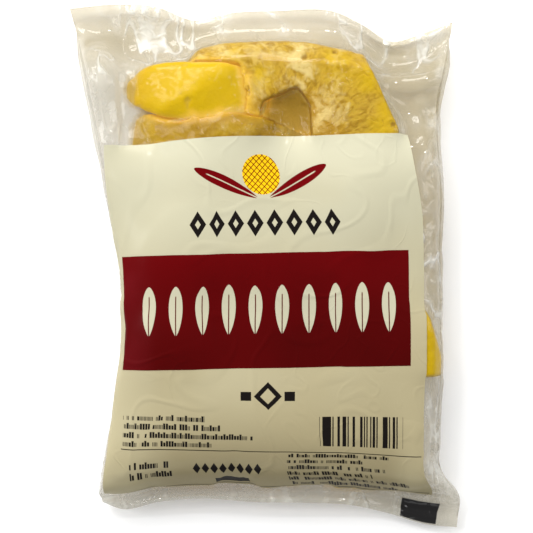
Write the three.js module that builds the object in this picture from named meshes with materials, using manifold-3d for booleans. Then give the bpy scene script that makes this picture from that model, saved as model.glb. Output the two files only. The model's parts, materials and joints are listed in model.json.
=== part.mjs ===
// A one-kilogram retail pack of frozen breadfruit, lying on its back. Peeled and cored pieces of the
// fruit are sealed in a pillow pouch of clear film, whose front wall carries an opaque printed panel.
// Millimetres. +X runs across the pack, +Y towards its top edge and +Z out of its printed front.
// The origin is under the middle of the pack, on the surface that it rests on.
import * as THREE from "three";
import { mergeVertices, toCreasedNormals } from "three/addons/utils/BufferGeometryUtils.js";
import Module from "manifold-3d";

const wasm = await Module();
wasm.setup();

// ---- Driving dimensions ----------------------------------------------------------------------

const FILM = 0.8; // wall of the pouch, the thinnest that a solid carries well
const INK = 0.6; // a printed layer on the front wall
const GAP = 0.3; // between two solids that touch
const PACK_LENGTH = 302;
const SEAL = 6; // flat welded band at each end of the pouch
const SHOULDERS = [14, 22]; // rounding of the left and the right side
const FRONT_LEVEL = 26; // lowest height of the front wall between its shoulders
const ROOM_LEVEL = 41; // greatest height of the contents, under the front wall
const FRONT_OPENING = 34; // length over which the front wall rises from a welded end
const BACK_OPENING = 22;
const CLEARANCE = 0.8; // between a piece and the film
const DRAPE_REACH = 9; // how far round a high point the film is held up by it
const DRAPE_ROUNDS = 80;
const DRAPE_SAG = 0.9; // how far a point of the film hangs below the points around it

// The pouch's side edges, where front and back walls meet: the share of the pack's length from its
// bottom edge, then the left and the right edge's place there. Each row is one level of the film.
const SIDE_EDGES = [
  { level: 0, left: [-94.9, -135.5, 12], right: [112.6, -151.2, 7] },
  { level: 0.04, left: [-95.3, -128, 14], right: [112.8, -136, 10] },
  { level: 0.09, left: [-92.9, -114, 17], right: [107, -120.5, 14] },
  { level: 0.17, left: [-89.4, -93.5, 18], right: [101.8, -98, 18] },
  { level: 0.295, left: [-85.6, -60.2, 18], right: [103.9, -57.1, 18] },
  { level: 0.41, left: [-83, -27, 18], right: [103.3, -23.5, 18] },
  { level: 0.525, left: [-85, 6, 18], right: [102.8, 10.4, 18] },
  { level: 0.64, left: [-92, 38, 18], right: [103.2, 44, 18] },
  { level: 0.75, left: [-97.8, 70.2, 18], right: [101.6, 77.2, 18] },
  { level: 0.84, left: [-103, 97.5, 17], right: [102.3, 99, 17] },
  { level: 0.92, left: [-107.8, 122.5, 15], right: [105.5, 119, 16] },
  { level: 1, left: [-112.9, 149.4, 13], right: [108.5, 141.3, 15] },
];
// The welded end edges from left to right: the share of the pack's width, then x, y and z.
const TOP_EDGE = [
  [-112.9, 149.4, 13], [-88, 151, 12], [-63, 150.4, 11], [-43, 143.6, 5], [-19, 148, 11],
  [5, 148.5, 14], [42, 147, 13], [57, 141, 8], [75, 131.8, 4], [92, 135.8, 9], [108.5, 141.3, 15],
];
const BOTTOM_EDGE = [
  [-94.9, -135.5, 12], [-84.5, -139.3, 8], [-62, -135, 13], [-36, -133, 13], [-8, -135, 13],
  [22, -135.6, 13], [50, -137.2, 11], [72, -142.5, 6], [95, -149.2, 5], [112.6, -151.2, 7],
];
const END_REACH = 0.22; // share of the length over which an end edge's waves die out

// The printed panel and its dark band: shares of the front wall's width and length.
const PANEL = { across: [0.025, 0.89], along: [0.04, 0.75] };
const BAND = { across: [0.065, 0.855], along: [0.295, 0.525] };

// Grid lines of the film: [where a stretch starts, its cells].
const ACROSS_CELLS = [
  [0, 1], [PANEL.across[0], 1], [BAND.across[0], 15], [BAND.across[1], 1], [PANEL.across[1], 3],
];
const ALONG_CELLS = [
  [0, 1], [SEAL / PACK_LENGTH, 1], [PANEL.along[0], 7], [BAND.along[0], 6], [BAND.along[1], 6],
  [PANEL.along[1], 6], [1 - SEAL / PACK_LENGTH, 1],
];

// The fruit that the pieces are cut from, and its knife-peeled skin.
const FRUIT_RADIUS = 63;
const FRUIT_HALF_LENGTH = 72;
const PEEL_FACETS = 46;
const PEEL_DEPTH = 0.06; // how much the cuts of the knife vary in depth, as a share
const SKIN_DETAIL = 9; // subdivisions of the skin's icosahedron

// Each piece is a sector of the fruit round its axis z, in degrees, between two cuts across the
// axis, less the core. Where the knife squared the fruit and scooped its core out, an outline of
// [radius, degrees] points stands in for the sector and the core, and a hollow with an outline and
// a floor for the scoop. The piece is turned about x, y and z, in degrees, and its axis point is
// placed at x, y and z. Without a z it lies on the back wall. Earlier pieces press into later ones.
const PIECES = [
  {
    name: "wedge_top_left", size: 0.66, sector: [153, 210], slab: [-45, 40], core: 7,
    turn: [0, 90, -4], at: [-37, 101, -0.5],
  },
  {
    name: "wedge_upper_middle", size: 0.9, sector: [159, 216], slab: [-52, 56], core: 14,
    turn: [0, 90, -7], at: [-25, 69, -16],
  },
  {
    name: "half_slice_top", size: 1.24, slab: [-4, 29], turn: [0, 0, 0], at: [15, 69],
    outline: [
      [63, -6], [63, 10], [69, 52], [62, 82], [62, 96], [72, 122], [78, 133], [79, 143],
      [80, 161], [76, 184], [21, 188], [13, -14],
    ],
    hollow: { floor: 12, outline: [[13, -14], [26, 65], [34, 83], [30, 122], [21, 188], [20, 270]] },
  },
  {
    name: "quarter_slice_right", size: 1.02, sector: [1, 92], slab: [-18, 16], core: 10,
    turn: [0, 0, 0], at: [42, -65],
  },
  {
    name: "quarter_slice_middle_left", size: 0.94, sector: [91, 184], slab: [-6, 28], core: 12,
    turn: [2, -3, 2], at: [-24, -14],
  },
  {
    name: "quarter_slice_middle", size: 0.95, sector: [-3, 88], slab: [-26, 9], core: 12,
    turn: [-2, 2, 0], at: [-19, -13],
  },
  {
    name: "wedge_right", size: 0.86, sector: [150, 216], slab: [-33, 34], core: 14,
    turn: [0, 90, 86], at: [56, 31, -14],
  },
  {
    name: "quarter_slice_lower_middle", size: 0.97, sector: [90, 181], slab: [-12, 20], core: 12,
    turn: [0, 2, 3], at: [37, -67],
  },
  {
    name: "wedge_left", size: 0.86, sector: [146, 216], slab: [-26, 29], core: 14,
    turn: [0, 90, 94], at: [-53, -46, -14],
  },
  {
    name: "quarter_slice_bottom_left", size: 0.95, sector: [92, 180], slab: [-20, 14], core: 12,
    turn: [0, -2, -2], at: [-19, -129],
  },
  {
    name: "quarter_slice_bottom", size: 0.93, sector: [2, 91], slab: [-8, 26], core: 12,
    turn: [2, 0, 2], at: [-14, -129],
  },
  {
    name: "quarter_slice_bottom_right", size: 0.94, sector: [0, 94], slab: [-23, 8], core: 12,
    turn: [-2, 0, 1], at: [29, -130],
  },
];

// ---- Solids ----------------------------------------------------------------------------------

// A closed three.js geometry as a solid that can be joined and cut.
function solidOf(geometry) {
  const bare = new THREE.BufferGeometry();
  bare.setAttribute("position", geometry.getAttribute("position"));
  if (geometry.index) bare.setIndex(geometry.index);
  const merged = mergeVertices(bare, 1e-4);
  const mesh = new wasm.Mesh({
    numProp: 3,
    vertProperties: merged.attributes.position.array,
    triVerts: new Uint32Array(merged.index.array),
  });
  return new wasm.Manifold(mesh);
}

// A solid's surface as a three.js geometry.
function geometryOf(solid) {
  const { vertProperties, triVerts, numProp } = solid.getMesh();
  const count = vertProperties.length / numProp;
  const xyz = new Float32Array(count * 3);
  for (let i = 0; i < count; i++) xyz.set(vertProperties.subarray(i * numProp, i * numProp + 3), i * 3);
  const geometry = new THREE.BufferGeometry();
  geometry.setAttribute("position", new THREE.BufferAttribute(xyz, 3));
  geometry.setIndex(Array.from(triVerts));
  return geometry;
}

// The largest body of a solid that cutting may have left in several.
function largestBody(solid) {
  return solid.decompose().reduce((a, b) => (b.volume() > a.volume() ? b : a));
}

// A slightly larger copy, which leaves a gap round the solid where it is cut from a neighbour.
function grown(solid) {
  const { min, max } = solid.boundingBox();
  const middle = min.map((v, k) => (v + max[k]) / 2);
  const scale = min.map((v, k) => 1 + (2.6 * GAP) / (max[k] - v));
  const geometry = geometryOf(solid).translate(...middle.map((v) => -v));
  return solidOf(geometry.scale(...scale).translate(...middle));
}

function boxesMeet(a, b) {
  const [p, q] = [a.boundingBox(), b.boundingBox()];
  return p.min.every((v, k) => v < q.max[k] && q.min[k] < p.max[k]);
}

// A repeatable stand-in for Math.random.
function randomFrom(seed) {
  let state = seed >>> 0;
  return () => {
    state = (state * 1664525 + 1013904223) >>> 0;
    return state / 2 ** 32;
  };
}

// ---- Pouch -----------------------------------------------------------------------------------

function curve(points) {
  return new THREE.CatmullRomCurve3(points.map((p) => new THREE.Vector3(...p)), false, "centripetal");
}
const leftEdge = curve(SIDE_EDGES.map((row) => row.left));
const rightEdge = curve(SIDE_EDGES.map((row) => row.right));
const topEdge = curve(TOP_EDGE);
const bottomEdge = curve(BOTTOM_EDGE);
const corners = {
  topLeft: topEdge.getPoint(0),
  topRight: topEdge.getPoint(1),
  bottomLeft: bottomEdge.getPoint(0),
  bottomRight: bottomEdge.getPoint(1),
};

// Values from 0 to 1, from [start, cells] stretches.
function gridLines(stretches) {
  const ends = [...stretches.slice(1).map(([start]) => start), 1];
  const inner = stretches.flatMap(([start, cells], k) =>
    Array.from({ length: cells }, (_, i) => start + ((ends[k] - start) * i) / cells),
  );
  return [...inner, 1];
}

const ACROSS = gridLines(ACROSS_CELLS);
const ALONG = gridLines(ALONG_CELLS);

// How far a wall has opened at a share of the pack's length: 0 at a welded end and 1 inside.
function openingAt(along, length) {
  const fromSeal = Math.min(along, 1 - along) * PACK_LENGTH - SEAL;
  return Math.sin((Math.PI / 2) * THREE.MathUtils.clamp(fromSeal / length, 0, 1));
}

// Film of even width is led round one shoulder, over the flat and round the other. A point of it
// has a place across the pack, as a share, and a bulge, 0 at the edge and 1 over the flat.
function acrossRow(across, shoulders) {
  const [left, right] = shoulders;
  const extra = Math.PI / 2 - 1; // how much longer a quarter turn is than its radius
  const fromLeft = across < 0.5;
  const shoulder = fromLeft ? left : right;
  const run = Math.min(across, 1 - across) * (1 + extra * (left + right));
  const angle = Math.min(run / shoulder, Math.PI / 2);
  const place = angle < Math.PI / 2 ? shoulder * (1 - Math.cos(angle)) : run - extra * shoulder;
  return { place: fromLeft ? place : 1 - place, bulge: Math.sin(angle) };
}

// A side edge's point at a level of the film.
function edgePoint(edge, along) {
  const last = SIDE_EDGES.length - 1;
  const k = Math.min(SIDE_EDGES.findLastIndex((row) => row.level <= along), last - 1);
  const share = (along - SIDE_EDGES[k].level) / (SIDE_EDGES[k + 1].level - SIDE_EDGES[k].level);
  return edge.getPoint((k + share) / last);
}

// The surface on which the walls meet: straight from side edge to side edge, with each end edge's
// waves, which die out away from it.
function middlePoint(along, place) {
  const point = edgePoint(leftEdge, along).lerp(edgePoint(rightEdge, along), place);
  const wave = (edge, from, to, distance) => {
    const fade = Math.max(0, 1 - distance / END_REACH) ** 2;
    point.addScaledVector(edge.getPointAt(place).sub(from.clone().lerp(to, place)), fade);
  };
  wave(bottomEdge, corners.bottomLeft, corners.bottomRight, along);
  wave(topEdge, corners.topLeft, corners.topRight, 1 - along);
  return point;
}

// A grid of points of one wall's inner face, indexed [row along][column across]. side is 1 for the
// front wall and -1 for the back, and level is the height of the wall between its shoulders.
function wallGrid(side, level, length) {
  return ALONG.map((along) =>
    ACROSS.map((across) => {
      const opening = openingAt(along, length);
      const width = edgePoint(rightEdge, along).x - edgePoint(leftEdge, along).x;
      const shoulders = SHOULDERS.map((reach) => Math.max(0.001, (reach * opening) / width));
      const { place, bulge } = acrossRow(across, shoulders);
      const point = middlePoint(along, place);
      point.z += (level - point.z) * opening * bulge + (side * GAP) / 2;
      return point;
    }),
  );
}

// Points of the upward faces of a solid, no further apart than step.
function topPoints(solid, step) {
  const position = geometryOf(solid).toNonIndexed().getAttribute("position");
  const [a, b, c] = [new THREE.Vector3(), new THREE.Vector3(), new THREE.Vector3()];
  const points = [];
  for (let i = 0; i < position.count; i += 3) {
    [a, b, c].forEach((corner, k) => corner.fromBufferAttribute(position, i + k));
    if ((b.x - a.x) * (c.y - a.y) <= (b.y - a.y) * (c.x - a.x)) continue;
    const parts = Math.ceil(Math.max(a.distanceTo(b), b.distanceTo(c), c.distanceTo(a)) / step);
    for (let u = 0; u <= parts; u++) {
      for (let v = 0; u + v <= parts; v++) {
        const point = a.clone().multiplyScalar(1 - (u + v) / parts);
        points.push(point.addScaledVector(b, u / parts).addScaledVector(c, v / parts));
      }
    }
  }
  return points;
}

// The front wall drawn down on the contents: held up by them, and otherwise hanging from its
// neighbours, between its lowest shape and the roof that the contents were trimmed to.
function drapedFront(low, roof, pieces) {
  const tops = pieces.flatMap((piece) => topPoints(piece, DRAPE_REACH / 2));
  const held = low.map((row, i) =>
    row.map((point, j) => {
      const near = tops.filter((p) => Math.hypot(p.x - point.x, p.y - point.y) < DRAPE_REACH);
      const top = near.reduce((highest, p) => Math.max(highest, p.z), 0) + CLEARANCE;
      return Math.min(roof[i][j].z, Math.max(point.z, top));
    }),
  );
  const draped = low.map((row, i) => row.map((point, j) => point.clone().setZ(held[i][j])));
  for (let round = 0; round < DRAPE_ROUNDS; round++) {
    for (let i = 2; i < low.length - 2; i++) {
      for (let j = 3; j < low[0].length - 3; j++) {
        const around = draped[i - 1][j].z + draped[i + 1][j].z + draped[i][j - 1].z + draped[i][j + 1].z;
        draped[i][j].z = Math.min(roof[i][j].z, Math.max(held[i][j], around / 4 - DRAPE_SAG));
      }
    }
  }
  return draped.map((row, i) => row.map((point, j) => {
    const onEdge = i < 2 || j < 1 || i > low.length - 3 || j > low[0].length - 2;
    return onEdge ? low[i][j].clone() : point;
  }));
}

// Each grid point moved along the wall's normal, outwards for side 1 and inwards for side -1.
function offsetGrid(grid, side, distance) {
  const row = (i) => grid[THREE.MathUtils.clamp(i, 0, grid.length - 1)];
  const at = (i, j) => row(i)[THREE.MathUtils.clamp(j, 0, grid[0].length - 1)];
  return grid.map((points, i) =>
    points.map((point, j) => {
      const along = at(i + 1, j).clone().sub(at(i - 1, j));
      const across = at(i, j + 1).clone().sub(at(i, j - 1));
      return point.clone().addScaledVector(across.cross(along).normalize(), side * distance);
    }),
  );
}

// The closed shell between two grids of the same size, the first one lower.
function shellBetween(lower, upper) {
  const rows = upper.length;
  const columns = upper[0].length;
  const index = [];
  const low = (i, j) => i * columns + j;
  const high = (i, j) => (rows + i) * columns + j;
  const quad = (a, b, c, d) => index.push(a, b, c, a, c, d);
  for (let i = 0; i + 1 < rows; i++) {
    for (let j = 0; j + 1 < columns; j++) {
      quad(high(i, j), high(i, j + 1), high(i + 1, j + 1), high(i + 1, j));
      quad(low(i, j), low(i + 1, j), low(i + 1, j + 1), low(i, j + 1));
    }
    quad(low(i + 1, 0), low(i, 0), high(i, 0), high(i + 1, 0));
    quad(low(i, columns - 1), low(i + 1, columns - 1), high(i + 1, columns - 1), high(i, columns - 1));
  }
  for (let j = 0; j + 1 < columns; j++) {
    quad(low(0, j), low(0, j + 1), high(0, j + 1), high(0, j));
    quad(low(rows - 1, j + 1), low(rows - 1, j), high(rows - 1, j), high(rows - 1, j + 1));
  }
  const geometry = new THREE.BufferGeometry().setFromPoints([...lower.flat(), ...upper.flat()]);
  geometry.setIndex(index);
  return geometry;
}

// The part of a grid inside an area of the wall, both given as shares across and along.
function gridWithin(grid, { across, along }) {
  const inside = (v, [low, high]) => v > low - 1e-6 && v < high + 1e-6;
  const within = (values, range) => values.flatMap((v, k) => (inside(v, range) ? [k] : []));
  const columns = within(ACROSS, across);
  return within(ALONG, along).map((i) => columns.map((j) => grid[i][j]));
}

// A printed layer over an area of the front wall, at a height over its inner face.
function printedLayer(front, area, height) {
  const under = gridWithin(offsetGrid(front, 1, height), area);
  const over = gridWithin(offsetGrid(front, 1, height + INK), area);
  return shellBetween(under, over);
}

// ---- Fruit -----------------------------------------------------------------------------------

// A whole peeled fruit, its axis along z: an oval with the shallow facets that a knife leaves.
function peeledFruit(size, seed) {
  const random = randomFrom(seed);
  const facets = Array.from({ length: PEEL_FACETS }, (_, k) => {
    const z = 1 - (2 * k + 1) / PEEL_FACETS;
    const turn = k * 2.399963 + random() * 0.35;
    const ring = Math.sqrt(1 - z * z);
    const facing = new THREE.Vector3(ring * Math.cos(turn), ring * Math.sin(turn), z);
    return { facing, distance: 1 - PEEL_DEPTH * random() };
  });
  const geometry = new THREE.IcosahedronGeometry(1, SKIN_DETAIL);
  const position = geometry.getAttribute("position");
  const direction = new THREE.Vector3();
  for (let i = 0; i < position.count; i++) {
    direction.fromBufferAttribute(position, i).normalize();
    const reach = facets.map((f) => f.distance / Math.max(0.2, direction.dot(f.facing)));
    direction.multiplyScalar(Math.min(...reach));
    position.setXYZ(i, direction.x, direction.y, direction.z);
  }
  return geometry.scale(FRUIT_RADIUS * size, FRUIT_RADIUS * size, FRUIT_HALF_LENGTH * size);
}

// A sector's outline: an arc beyond the skin, and the straight cut that takes the core away.
function sectorOutline([start, end], core) {
  const reach = FRUIT_RADIUS * 2;
  const arc = [0, 1, 2, 3, 4].map((k) => [reach, start + ((end - start) * k) / 4]);
  return [...arc, [core, end], [core, start]];
}

// A prism along the fruit's axis, from an outline of [radius, degrees] points.
function prism(outline, low, high) {
  const shape = new THREE.Shape(outline.map(([radius, degrees]) => {
    const angle = THREE.MathUtils.degToRad(degrees);
    return new THREE.Vector2(radius * Math.cos(angle), radius * Math.sin(angle));
  }));
  return new THREE.ExtrudeGeometry(shape, { depth: high - low, bevelEnabled: false }).translate(0, 0, low);
}

// The block that a piece is cut from the fruit with.
function pieceBlock({ sector, core, outline, hollow, slab: [low, high] }) {
  const block = solidOf(prism(outline ?? sectorOutline(sector, core), low, high));
  return hollow ? block.subtract(solidOf(prism(hollow.outline, hollow.floor, high + 1))) : block;
}

// One piece as a solid, in its place in the pack.
function cutPiece(spec, seed) {
  const [x, y, z] = spec.at;
  const turn = new THREE.Euler(...spec.turn.map(THREE.MathUtils.degToRad), "ZYX");
  const place = new THREE.Matrix4().makeRotationFromEuler(turn).setPosition(x, y, z ?? 0);
  const fruit = solidOf(peeledFruit(spec.size, seed).applyMatrix4(place));
  const piece = fruit.intersect(pieceBlock(spec).transform(place.toArray()));
  const drop = z === undefined ? CLEARANCE * 2 - piece.boundingBox().min[2] : 0;
  return solidOf(geometryOf(piece).translate(0, 0, drop));
}

// Every piece, trimmed to the room in the pouch and to the pieces placed before it, which are taken
// whole here: a whole piece has no dents, so its grown copy leaves a gap all round.
function cutPieces(room) {
  const whole = PIECES.map((spec, k) => cutPiece(spec, 11 + k).intersect(room));
  return whole.map((piece, k) => {
    const before = whole.slice(0, k).filter((other) => boxesMeet(piece, other));
    return largestBody(before.reduce((rest, other) => rest.subtract(grown(other)), piece));
  });
}

// The space inside the pouch under a front wall, with the clearance to both walls.
function roomUnder(front) {
  return solidOf(shellBetween(offsetGrid(back, 1, CLEARANCE), offsetGrid(front, -1, CLEARANCE)));
}

// ---- Build -----------------------------------------------------------------------------------

const back = wallGrid(-1, FILM, BACK_OPENING);
const roof = wallGrid(1, ROOM_LEVEL, FRONT_OPENING);
const trimmed = cutPieces(roomUnder(roof));
const front = drapedFront(wallGrid(1, FRONT_LEVEL, FRONT_OPENING), roof, trimmed);
const room = roomUnder(front);
const pieces = trimmed.map((piece) => largestBody(piece.intersect(room)));

const looks = {
  film: { color: 0xdcd8c8, roughness: 0.12, metalness: 0, transparent: true, opacity: 0.35 },
  panel: { color: 0xe2dcbe, roughness: 0.35, metalness: 0 },
  band: { color: 0x6b0411, roughness: 0.3, metalness: 0 },
  fruit: { color: 0xd9ac38, roughness: 0.6, metalness: 0 },
};

const group = new THREE.Group();
function add(name, geometry, look) {
  const mesh = new THREE.Mesh(toCreasedNormals(geometry, 0.6), new THREE.MeshStandardMaterial(looks[look]));
  mesh.name = name;
  group.add(mesh);
}

add("film_front", shellBetween(front, offsetGrid(front, 1, FILM)), "film");
add("film_back", shellBetween(offsetGrid(back, -1, FILM), back), "film");
add("print_panel", printedLayer(front, PANEL, FILM + GAP), "panel");
add("print_band", printedLayer(front, BAND, FILM + GAP + INK + GAP), "band");
pieces.forEach((piece, k) => add(PIECES[k].name, geometryOf(piece), "fruit"));

const box = new THREE.Box3().setFromObject(group);
const middle = box.getCenter(new THREE.Vector3());
group.position.set(-middle.x, -middle.y, -box.min.z);

export default group;
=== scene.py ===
"""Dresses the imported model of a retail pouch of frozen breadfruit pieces.

The pouch is a tube of clear film, welded at both ends and drawn down on peeled, cored pieces of the
fruit. Its front wall carries an opaque cream panel with a maroon band. Lengths in the classes are in
millimetres, and every mesh is written in metres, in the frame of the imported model.
"""

import json
import logging
import math
from dataclasses import dataclass, field
from enum import Enum
from typing import Callable, Iterator, Optional, Sequence

import bmesh
import bpy
import numpy as np
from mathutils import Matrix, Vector
from mathutils.bvhtree import BVHTree

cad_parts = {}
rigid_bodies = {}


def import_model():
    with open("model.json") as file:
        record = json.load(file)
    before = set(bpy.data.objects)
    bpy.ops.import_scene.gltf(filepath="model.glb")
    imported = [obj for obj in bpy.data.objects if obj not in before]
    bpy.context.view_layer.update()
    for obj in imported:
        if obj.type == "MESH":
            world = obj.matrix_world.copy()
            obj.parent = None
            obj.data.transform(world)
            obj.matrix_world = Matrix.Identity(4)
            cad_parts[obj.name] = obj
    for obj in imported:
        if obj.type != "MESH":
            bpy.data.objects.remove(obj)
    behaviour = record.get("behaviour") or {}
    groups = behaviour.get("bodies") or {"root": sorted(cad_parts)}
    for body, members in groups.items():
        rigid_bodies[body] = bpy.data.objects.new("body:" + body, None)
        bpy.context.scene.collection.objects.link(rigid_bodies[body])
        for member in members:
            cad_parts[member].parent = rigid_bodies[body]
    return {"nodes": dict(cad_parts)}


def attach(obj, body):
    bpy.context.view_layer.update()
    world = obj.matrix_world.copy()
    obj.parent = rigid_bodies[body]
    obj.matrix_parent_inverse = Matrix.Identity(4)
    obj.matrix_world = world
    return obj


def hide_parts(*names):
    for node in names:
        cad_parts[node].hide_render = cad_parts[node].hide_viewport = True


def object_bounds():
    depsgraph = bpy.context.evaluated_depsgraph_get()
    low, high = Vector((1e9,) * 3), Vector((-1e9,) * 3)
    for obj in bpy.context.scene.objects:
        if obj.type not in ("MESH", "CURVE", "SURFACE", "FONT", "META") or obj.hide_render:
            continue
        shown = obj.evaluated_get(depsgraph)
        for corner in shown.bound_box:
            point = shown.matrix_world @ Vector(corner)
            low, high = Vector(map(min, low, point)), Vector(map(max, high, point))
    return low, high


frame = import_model()
CAD_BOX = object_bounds()

LOG = logging.getLogger("breadfruit_pack")
MM = 0.001
TINY = 1e-9  # keeps a length that is divided by from being 0
LAYER_SHIFT = 17.3  # keeps the layers of a noise from lining up
Array = np.ndarray


# ---- Number helpers --------------------------------------------------------------------------


def smoothstep(values: Array, low: float, high: float) -> Array:
    """Ease from 0 at low to 1 at high.

    Args:
        values: Numbers of any shape.
        low: Where the result leaves 0.
        high: Where the result reaches 1.

    Returns:
        The eased shares, in the shape of values.
    """
    share = np.clip((values - low) / (high - low), 0.0, 1.0)
    return share * share * (3.0 - 2.0 * share)


def curve_through(knots: Array, values: Array, at: Array) -> Array:
    """Read a smooth curve that passes through given values.

    Args:
        knots: Rising positions of the values, one each.
        values: One row of numbers for each knot.
        at: Positions to read, of any shape.

    Returns:
        One row of numbers for each position, in the shape of at.
    """
    slopes = np.gradient(values, knots, axis=0)
    k = np.clip(np.searchsorted(knots, at, side="right") - 1, 0, len(knots) - 2)
    span = (knots[k + 1] - knots[k])[..., None]
    x = ((at - knots[k])[..., None]) / span
    rise = values[k] * (2 * x**3 - 3 * x**2 + 1) + values[k + 1] * (3 * x**2 - 2 * x**3)
    return rise + span * (slopes[k] * (x**3 - 2 * x**2 + x) + slopes[k + 1] * (x**3 - x**2))


def cell_corners(share: Array) -> Iterator[tuple[Array, Array]]:
    """Go through the eight corners of a lattice's cells.

    Args:
        share: Places in their cells, from 0 to 1 along each axis, with the axes last.

    Returns:
        For each corner, its steps from the cell's low corner and its weight at every place.
    """
    for corner in range(8):
        step = np.array([corner & 1, corner >> 1 & 1, corner >> 2 & 1])
        yield step, np.prod(np.where(step == 1, share, 1.0 - share), axis=-1)


@dataclass
class Grain:
    """Smooth, seeded noise in space.

    Attributes:
        seed: Which noise it is.
        cells: Size of the repeating lattice.
    """

    seed: int
    cells: int = 64

    def __post_init__(self) -> None:
        """Draw the lattice's values."""
        draw = np.random.default_rng(self.seed)
        self.lattice = draw.uniform(-1.0, 1.0, (self.cells,) * 3)

    def at(self, points: Array, scale: float) -> Array:
        """Read the noise.

        Args:
            points: Places, with x, y and z along the last axis.
            scale: Size of one bump, in the units of points.

        Returns:
            Values between -1 and 1, one for each place.
        """
        place = points / scale
        low = np.floor(place).astype(int)
        share = place - low
        share = share * share * (3.0 - 2.0 * share)
        total = np.zeros(points.shape[:-1])
        for step, weight in cell_corners(share):
            x, y, z = np.moveaxis((low + step) % self.cells, -1, 0)
            total += weight * self.lattice[x, y, z]
        return total

    def layered(self, points: Array, scale: float, layers: int) -> Array:
        """Add finer and weaker layers of the noise.

        Args:
            points: Places, with x, y and z along the last axis.
            scale: Size of the largest bumps.
            layers: How many layers, each half as large as the last.

        Returns:
            One value for each place.
        """
        return sum(self.at(points + LAYER_SHIFT * k, scale / 2**k) / 2**k for k in range(layers))


# ---- Mesh helpers ----------------------------------------------------------------------------


def mesh_points(mesh: bpy.types.Mesh) -> Array:
    """Return a mesh's points in millimetres, one row each.

    Args:
        mesh: The mesh.

    Returns:
        The points.
    """
    flat = np.empty(len(mesh.vertices) * 3)
    mesh.vertices.foreach_get("co", flat)
    return flat.reshape(-1, 3) / MM


def mesh_normals(mesh: bpy.types.Mesh) -> Array:
    """Return a mesh's point normals, one row each.

    Args:
        mesh: The mesh.

    Returns:
        The normals.
    """
    flat = np.empty(len(mesh.vertices) * 3)
    mesh.vertices.foreach_get("normal", flat)
    return flat.reshape(-1, 3)


def move_points(mesh: bpy.types.Mesh, points: Array) -> None:
    """Move a mesh's points to new places, given in millimetres."""
    mesh.vertices.foreach_set("co", (points * MM).astype(np.float32).ravel())
    mesh.update()


def write_attribute(mesh: bpy.types.Mesh, name: str, values: Array) -> None:
    """Store one number, or one vector, for each point of a mesh.

    Args:
        mesh: The mesh.
        name: The attribute's name.
        values: One number or one row for each point.
    """
    kind, key = ("FLOAT", "value") if values.ndim == 1 else ("FLOAT_VECTOR", "vector")
    layer = mesh.attributes.new(name, kind, "POINT")
    layer.data.foreach_set(key, values.astype(np.float32).ravel())


def as_object(name: str, mesh: bpy.types.Mesh) -> bpy.types.Object:
    """Put a mesh in the scene as a smooth-shaded object at the origin.

    Args:
        name: The object's name.
        mesh: Its mesh.

    Returns:
        The new object.
    """
    piece = bpy.data.objects.new(name, mesh)
    bpy.context.scene.collection.objects.link(piece)
    mesh.shade_smooth()
    return piece


def apply_modifiers(piece: bpy.types.Object) -> None:
    """Replace a piece's mesh by what its modifiers make of it.

    Args:
        piece: The piece.
    """
    ready = piece.evaluated_get(bpy.context.evaluated_depsgraph_get())
    mesh = bpy.data.meshes.new_from_object(ready)
    piece.modifiers.clear()
    piece.data = mesh


def grid_mesh(name: str, points: Array, uv: Array) -> bpy.types.Mesh:
    """Make a sheet of quads over a grid of points.

    Args:
        name: The mesh's name.
        points: Points in millimetres, indexed [row, column, axis], seen with rows going up and
            columns to the right from the side that the sheet faces.
        uv: The texture place of each point, indexed the same way.

    Returns:
        The mesh.
    """
    rows, columns = points.shape[:2]
    build = bmesh.new()
    made = bmesh.ops.create_grid(
        build, x_segments=columns - 1, y_segments=rows - 1, size=1.0, calc_uvs=False
    )
    layer = build.loops.layers.uv.new("film")
    for vertex in made["verts"]:
        column = round((vertex.co.x + 1.0) / 2.0 * (columns - 1))
        row = round((vertex.co.y + 1.0) / 2.0 * (rows - 1))
        vertex.co = Vector(points[row, column] * MM)
        for loop in vertex.link_loops:
            loop[layer].uv = uv[row, column]
    mesh = bpy.data.meshes.new(name)
    build.to_mesh(mesh)
    build.free()
    return mesh


# ---- Fruit -----------------------------------------------------------------------------------


@dataclass(frozen=True)
class FruitCut:
    """One cut piece of the fruit.

    Attributes:
        node: The CAD solid that it replaces.
        axis_point: A point of the fruit's axis, in millimetres.
        axis: The axis's direction.
        ripeness: How yellow its flesh is, from 0 for pale to 1.
        rounding: Passes of smoothing that round the knife's edges.
        darkening: How far its flesh is darkened towards tan, from 0 to 1.
    """

    node: str
    axis_point: tuple[float, float, float]
    axis: tuple[float, float, float]
    ripeness: float
    rounding: int = 6
    darkening: float = 0.0


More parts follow.
